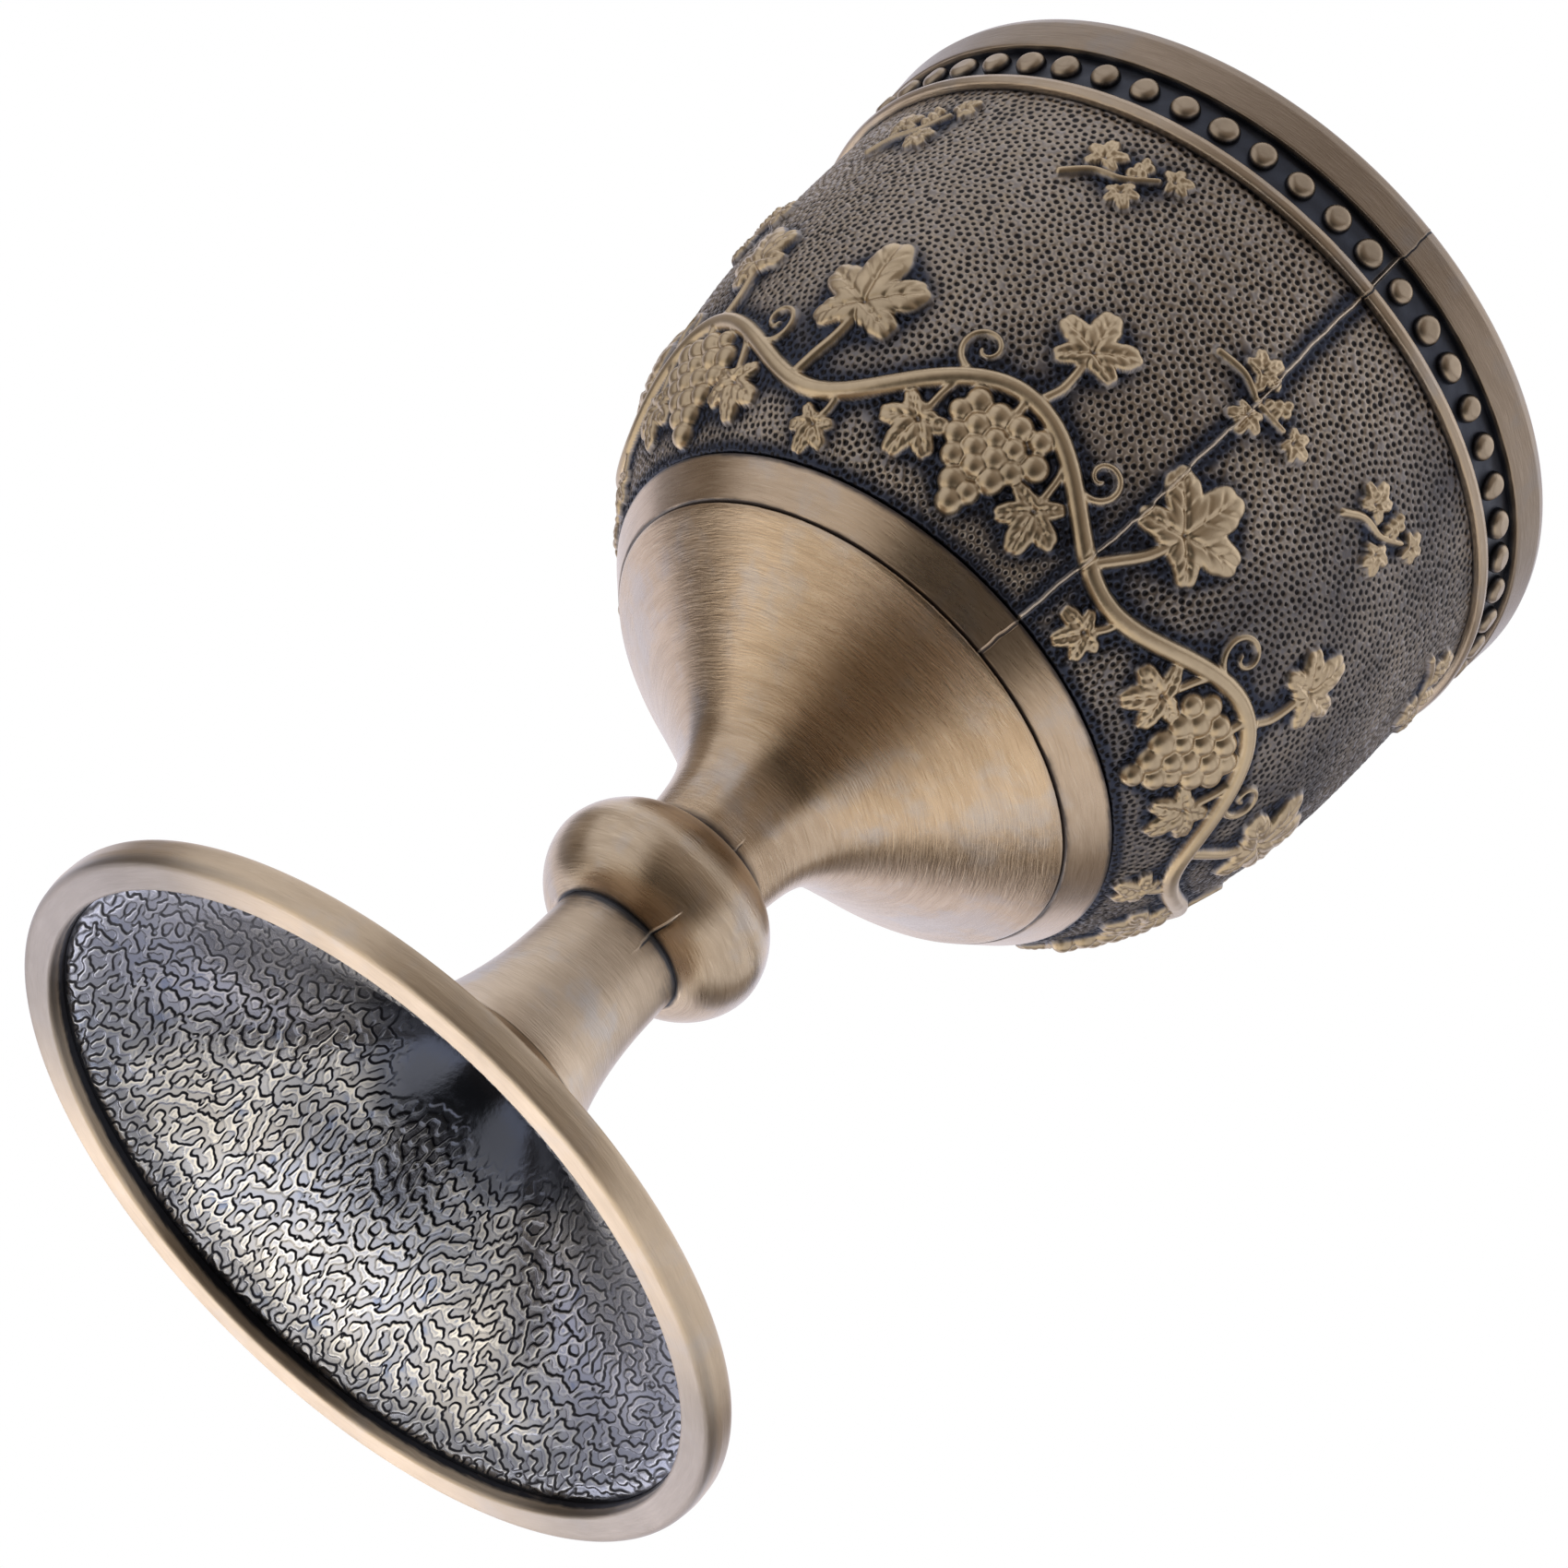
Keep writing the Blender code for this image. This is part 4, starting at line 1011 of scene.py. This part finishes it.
# painted shade: the underside is darkened by the rim, where the foot turns up, on both sides (more on the left) and
# towards the throat
left_side, right_side = np.clip(-np.sin(TH), 0, 1), np.clip(np.sin(TH), 0, 1)
shade = np.maximum(0.98 * smooth(24.0, 28.4, RU), (1.06 - 0.66 * left_side - 0.50 * right_side) * smooth(20.3, 12.6, RU))
shade = np.clip(shade + 0.10 * on_foot(warp, X, Y) + (1.10 * left_side ** 2.2 + 0.92 * right_side ** 2.2) * smooth(12.0, 24.0, RU), 0, 1.02)
shade = np.maximum(shade, 1.17 * smooth(12.4, 9.6, RU + 0.45 * on_foot(warp, X, Y)))
R_t = np.repeat(upper[:, :1], len(th), 1)
Z_t = np.repeat(upper[:, 1:], len(th), 1)
zt = np.zeros_like(R_t)
cav_t = np.repeat((0.6 * np.exp(-(upper[:, 0] - COLLAR_R) ** 2 / 0.12) + 0.7 * np.exp(-((edge_r - upper[:, 0]) / 0.35) ** 2))[:, None], len(th), 1)
attrs = {"cav": np.concatenate([cav_t, amp + np.zeros_like(RU)]),
         "field": np.concatenate([zt, on_foot(field, X, Y)]),
         "side": np.concatenate([zt, on_foot(side, X, Y)]),
         "halo": np.concatenate([zt, throat]),
         "shade": np.concatenate([zt, shade])}
turned("foot", "foot", [m_foot, m_crackle], np.concatenate([R_t, R_u]), np.concatenate([Z_t, Z_u]), th, attrs,
       np.concatenate([np.zeros(len(upper)), np.ones(len(ru))]))

# ------------------------------------------------------------------ foot ring
line = refine(fillet([(FOOT_R - 0.10, RING_H, 0.9), (FOOT_R, 1.25, 1.2), (FOOT_R - 0.20, 0.0, 0.60), (RING_IN_R + 0.02, 0.0, 0.36),
                      (RING_IN_R, RING_H, 0.6)], 9), 0.3)
# painted shade: the ring's inner wall is darkened towards the patina colour
cav = 0.9 * smooth(RING_IN_R + 0.10, RING_IN_R + 0.01, line[:, 0]) * smooth(0.45, 1.2, line[:, 1])
th = columns(360, False)
# painted shade: the ring's flat is darkened at its left and right sides, a little more on the left
painted_side_shade = (0.88 - 0.08 * np.sin(th))[None, :] * smooth(0.50, 0.97, np.abs(np.sin(th)))[None, :] * smooth(1.1, 0.4, line[:, 1])[:, None]
plain_turn("foot_ring", "foot_ring", [m_ring], line, th, {"cav": cav, "painted_side_shade": painted_side_shade}, wobble=0.035)

# ------------------------------------------------------------------ drinking cup
zo = np.linspace(SLEEVE_Z1, CUP_FLOOR_Z, 60)
outer = np.stack([cup_r(zo) - 0.3 * smooth(SLEEVE_Z1, SLEEVE_Z1 - 4, zo), zo], -1)
inn = outer[::-1].copy()
inn[:, 0] -= CUP_WALL
keep = inn[:, 1] > CUP_FLOOR_Z + CUP_WALL + 1.6
floor_z = CUP_FLOOR_Z + CUP_WALL
inn = inn[keep]
start = inn[0]
curve = [np.array((start[0] - 2.6 * (1 - t) ** 1.6 * 1.25, floor_z + (start[1] - floor_z) * t ** 2.0)) for t in np.linspace(0, 1, 12)[:-1]]
flat = [np.array((r, floor_z)) for r in np.linspace(0.15, curve[0][0], 26)[:-1]]
rim = fillet([(CUP_R - CUP_WALL, SLEEVE_Z1 + 1, 0), (CUP_R - CUP_WALL, CUP_TOP_Z, 0.35), (CUP_R, CUP_TOP_Z, 0.35), (CUP_R, SLEEVE_Z1 + 1, 0)], 5)
line = np.concatenate([flat, curve, inn, rim, outer[1:], [[0.15, CUP_FLOOR_Z]]])
line = refine(line, 0.9)
plain_turn("drinking_cup", "drinking_cup", [m_cup], line, columns(300), {"cav": 0.15 * np.exp(-((line[:, 1] - floor_z) / 2.0) ** 2)})

# ------------------------------------------------------------------ hidden fastening keeps its solids
steel = plain_steel("fastener_steel", (0.40, 0.39, 0.37), 0.40)
for n in ("tie_rod", "washer", "nut"):
    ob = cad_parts[n]
    ob.data.materials.clear()
    ob.data.materials.append(steel)

# ------------------------------------------------------------------ floor, seen from above only
bpy.ops.mesh.primitive_grid_add(x_subdivisions=8, y_subdivisions=8, size=6.0, location=(0, 0, -0.0004))
floor = bpy.context.object
floor.name = "floor"
g = Graph("floor_pale")
back = g.node("ShaderNodeNewGeometry").outputs["Backfacing"]
dif = g.node("ShaderNodeBsdfDiffuse")
dif.inputs["Color"].default_value = (0.80, 0.79, 0.78, 1)
clear = g.node("ShaderNodeBsdfTransparent")
mixer = g.node("ShaderNodeMixShader")
g.link(back, mixer.inputs[0])
g.link(dif.outputs[0], mixer.inputs[1])
g.link(clear.outputs[0], mixer.inputs[2])
g.link(mixer.outputs[0], g.out.inputs["Surface"])
floor.data.materials.append(g.mat)
floor.visible_shadow = False
floor.visible_diffuse = False
floor.visible_glossy = False
floor.visible_transmission = False
floor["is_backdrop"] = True

# ------------------------------------------------------------------ light: a white tent with a dark slot on the photographer's side
scene = bpy.context.scene
scene.view_settings.view_transform = "Standard"
world = bpy.data.worlds.new("studio")
scene.world = world
world.use_nodes = True
wt = world.node_tree
wt.nodes.clear()


def wn(kind, **props):
    n = wt.nodes.new(kind)
    for k, v in props.items():
        setattr(n, k, v)
    return n


def wmath(op, a, b=0.0, clamp=False):
    n = wn("ShaderNodeMath", operation=op, use_clamp=clamp)
    for s, v in ((n.inputs[0], a), (n.inputs[1], b)):
        if hasattr(v, "links"):
            wt.links.new(v, s)
        else:
            s.default_value = v
    return n.outputs[0]


def wstep(v, a, b, c=0.0, d=1.0):
    n = wn("ShaderNodeMapRange", interpolation_type="SMOOTHSTEP")
    wt.links.new(v, n.inputs["Value"])
    n.inputs["From Min"].default_value = a
    n.inputs["From Max"].default_value = b
    n.inputs["To Min"].default_value = c
    n.inputs["To Max"].default_value = d
    return n.outputs["Result"]


coord = wn("ShaderNodeTexCoord").outputs["Generated"]
sep = wn("ShaderNodeSeparateXYZ")
wt.links.new(coord, sep.inputs[0])
X_, Y_, Z_ = sep.outputs
DEG = 180.0 / math.pi
az = wmath("MULTIPLY", wmath("ARCTAN2", X_, wmath("MULTIPLY", Y_, -1.0)), DEG)      # 0 at the front, + to the right
el = wmath("MULTIPLY", wmath("ARCSINE", Z_), DEG)
wide_az = wmath("ABSOLUTE", az)
top_cut = wstep(el, 31.0, 19.0)
fall = wmath("MINIMUM", el, 0.0)
rise = wmath("MULTIPLY", wstep(el, 2.0, 16.0, 1.0, 1.20), top_cut)
lean_l = wmath("SUBTRACT", wmath("MULTIPLY", fall, 0.10), az)
left = wmath("MULTIPLY", wmath("MULTIPLY", wstep(az, -117.0, -98.0), wstep(lean_l, 22.0, 54.0)),
             wmath("MULTIPLY", wstep(el, -90.0, -48.0, 0.40, 0.79), rise))
lean_r = wmath("ADD", az, wmath("MULTIPLY", fall, 0.25))
right_box = wmath("MULTIPLY", wmath("MULTIPLY", wstep(az, 126.0, 106.0), wstep(lean_r, 20.0, 52.0)),
                  wmath("MULTIPLY", wmath("MULTIPLY", wstep(el, -80.0, -50.0, 0.15, 1.03), wstep(el, -42.0, -14.0, 1.0, 0.79)), rise))
overhead = wmath("MULTIPLY", wstep(el, 25.5, 37.5), wstep(wide_az, 35.0, 85.0, 0.76, 1.0))
behind = wmath("MULTIPLY", wstep(wide_az, 131.0, 147.0), 0.95)
low_back = wmath("MULTIPLY", wmath("MULTIPLY", wstep(el, -28.0, -45.0), wstep(wide_az, 92.0, 112.0)), 1.25)
table = wmath("MULTIPLY", wmath("MULTIPLY", wmath("MULTIPLY", wstep(el, -17.0, -23.0), wstep(el, -64.0, -50.0)), wstep(wide_az, 168.0, 178.0)), 3.0)
below = wmath("MULTIPLY", wmath("MULTIPLY", wstep(el, -52.0, -66.0), wstep(Y_, -0.34, -0.10)), 1.30)
lit = wmath("MAXIMUM", wmath("MAXIMUM", left, right_box), wmath("MAXIMUM", overhead, behind))
lit = wmath("MAXIMUM", wmath("MAXIMUM", lit, table), wmath("MAXIMUM", low_back, below))
dim = wmath("MULTIPLY", wstep(el, -48.0, 20.0, 0.05, 0.36), wstep(el, 30.0, 22.0, 0.6, 1.0))
power = wmath("MAXIMUM", lit, dim)


def wtint(fac, a, b):
    n = wn("ShaderNodeMix", data_type="RGBA")
    wt.links.new(fac, n.inputs["Factor"])
    for sock, c in ((n.inputs[6], a), (n.inputs[7], b)):
        if hasattr(c, "links"):
            wt.links.new(c, sock)
        else:
            sock.default_value = (*c, 1.0)
    return n.outputs[2]


tint = wtint(wstep(power, 0.15, 0.75), (1.0, 0.84, 0.70), (1.0, 1.0, 1.03))
tint = wtint(wmath("MULTIPLY", wstep(el, -34.0, -48.0), wstep(el, -74.0, -64.0)), tint, (1.0, 0.945, 0.85))
tint = wtint(wmath("MULTIPLY", wstep(wide_az, 118.0, 140.0), wstep(el, -36.0, -24.0)), tint, (1.0, 0.985, 1.10))
bg = wn("ShaderNodeBackground")
wt.links.new(tint, bg.inputs["Color"])
wt.links.new(power, bg.inputs["Strength"])
seen = wn("ShaderNodeBackground")
seen.inputs["Color"].default_value = (1, 1, 1, 1)
seen.inputs["Strength"].default_value = 1.0
path = wn("ShaderNodeLightPath")
wmix = wn("ShaderNodeMixShader")
wt.links.new(path.outputs["Is Camera Ray"], wmix.inputs[0])
wt.links.new(bg.outputs[0], wmix.inputs[1])
wt.links.new(seen.outputs[0], wmix.inputs[2])
wout = wn("ShaderNodeOutputWorld")
wt.links.new(wmix.outputs[0], wout.inputs["Surface"])


def softbox(name, at, aim, w, h, watts):
    data = bpy.data.lights.new(name, "AREA")
    data.shape = "RECTANGLE"
    data.size, data.size_y = w, h
    data.energy = watts
    ob = bpy.data.objects.new(name, data)
    scene.collection.objects.link(ob)
    ob.location = at
    ob.rotation_euler = (Vector(aim) - Vector(at)).to_track_quat("-Z", "Y").to_euler()
    return ob


softbox("key", (0.30, -0.10, 0.80), (0, 0, 0.06), 0.7, 0.7, 0.5)

# ------------------------------------------------------------------ camera: below the foot and rolled, as in the photograph
UNIT = 0.03274
FOCAL = 5800.0
ROLL = math.radians(45.3)
side_step = 2.6 / FOCAL * 12.7 * UNIT
eye = Vector((side_step, -10.906 * UNIT, -5.088 * UNIT))
look = Vector((side_step, 0.0, 1.5868 * UNIT))
fwd = (look - eye).normalized()
right = Vector((1, 0, 0))
axis_up = right.cross(fwd).normalized()
cs, sn = math.cos(ROLL), math.sin(ROLL)
img_right = axis_up * cs + right * sn
img_up = axis_up * sn - right * cs
back_dir = -fwd
cam_data = bpy.data.cameras.new("camera")
cam = bpy.data.objects.new("camera", cam_data)
scene.collection.objects.link(cam)
cam.matrix_world = Matrix(((img_right.x, img_up.x, back_dir.x, eye.x),
                           (img_right.y, img_up.y, back_dir.y, eye.y),
                           (img_right.z, img_up.z, back_dir.z, eye.z),
                           (0, 0, 0, 1)))
cam_data.sensor_width = 36.0
cam_data.lens = 36.0 * FOCAL / 1700.0
cam_data.clip_start = 0.01
cam_data.clip_end = 50.0
scene.camera = cam

lo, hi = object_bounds()
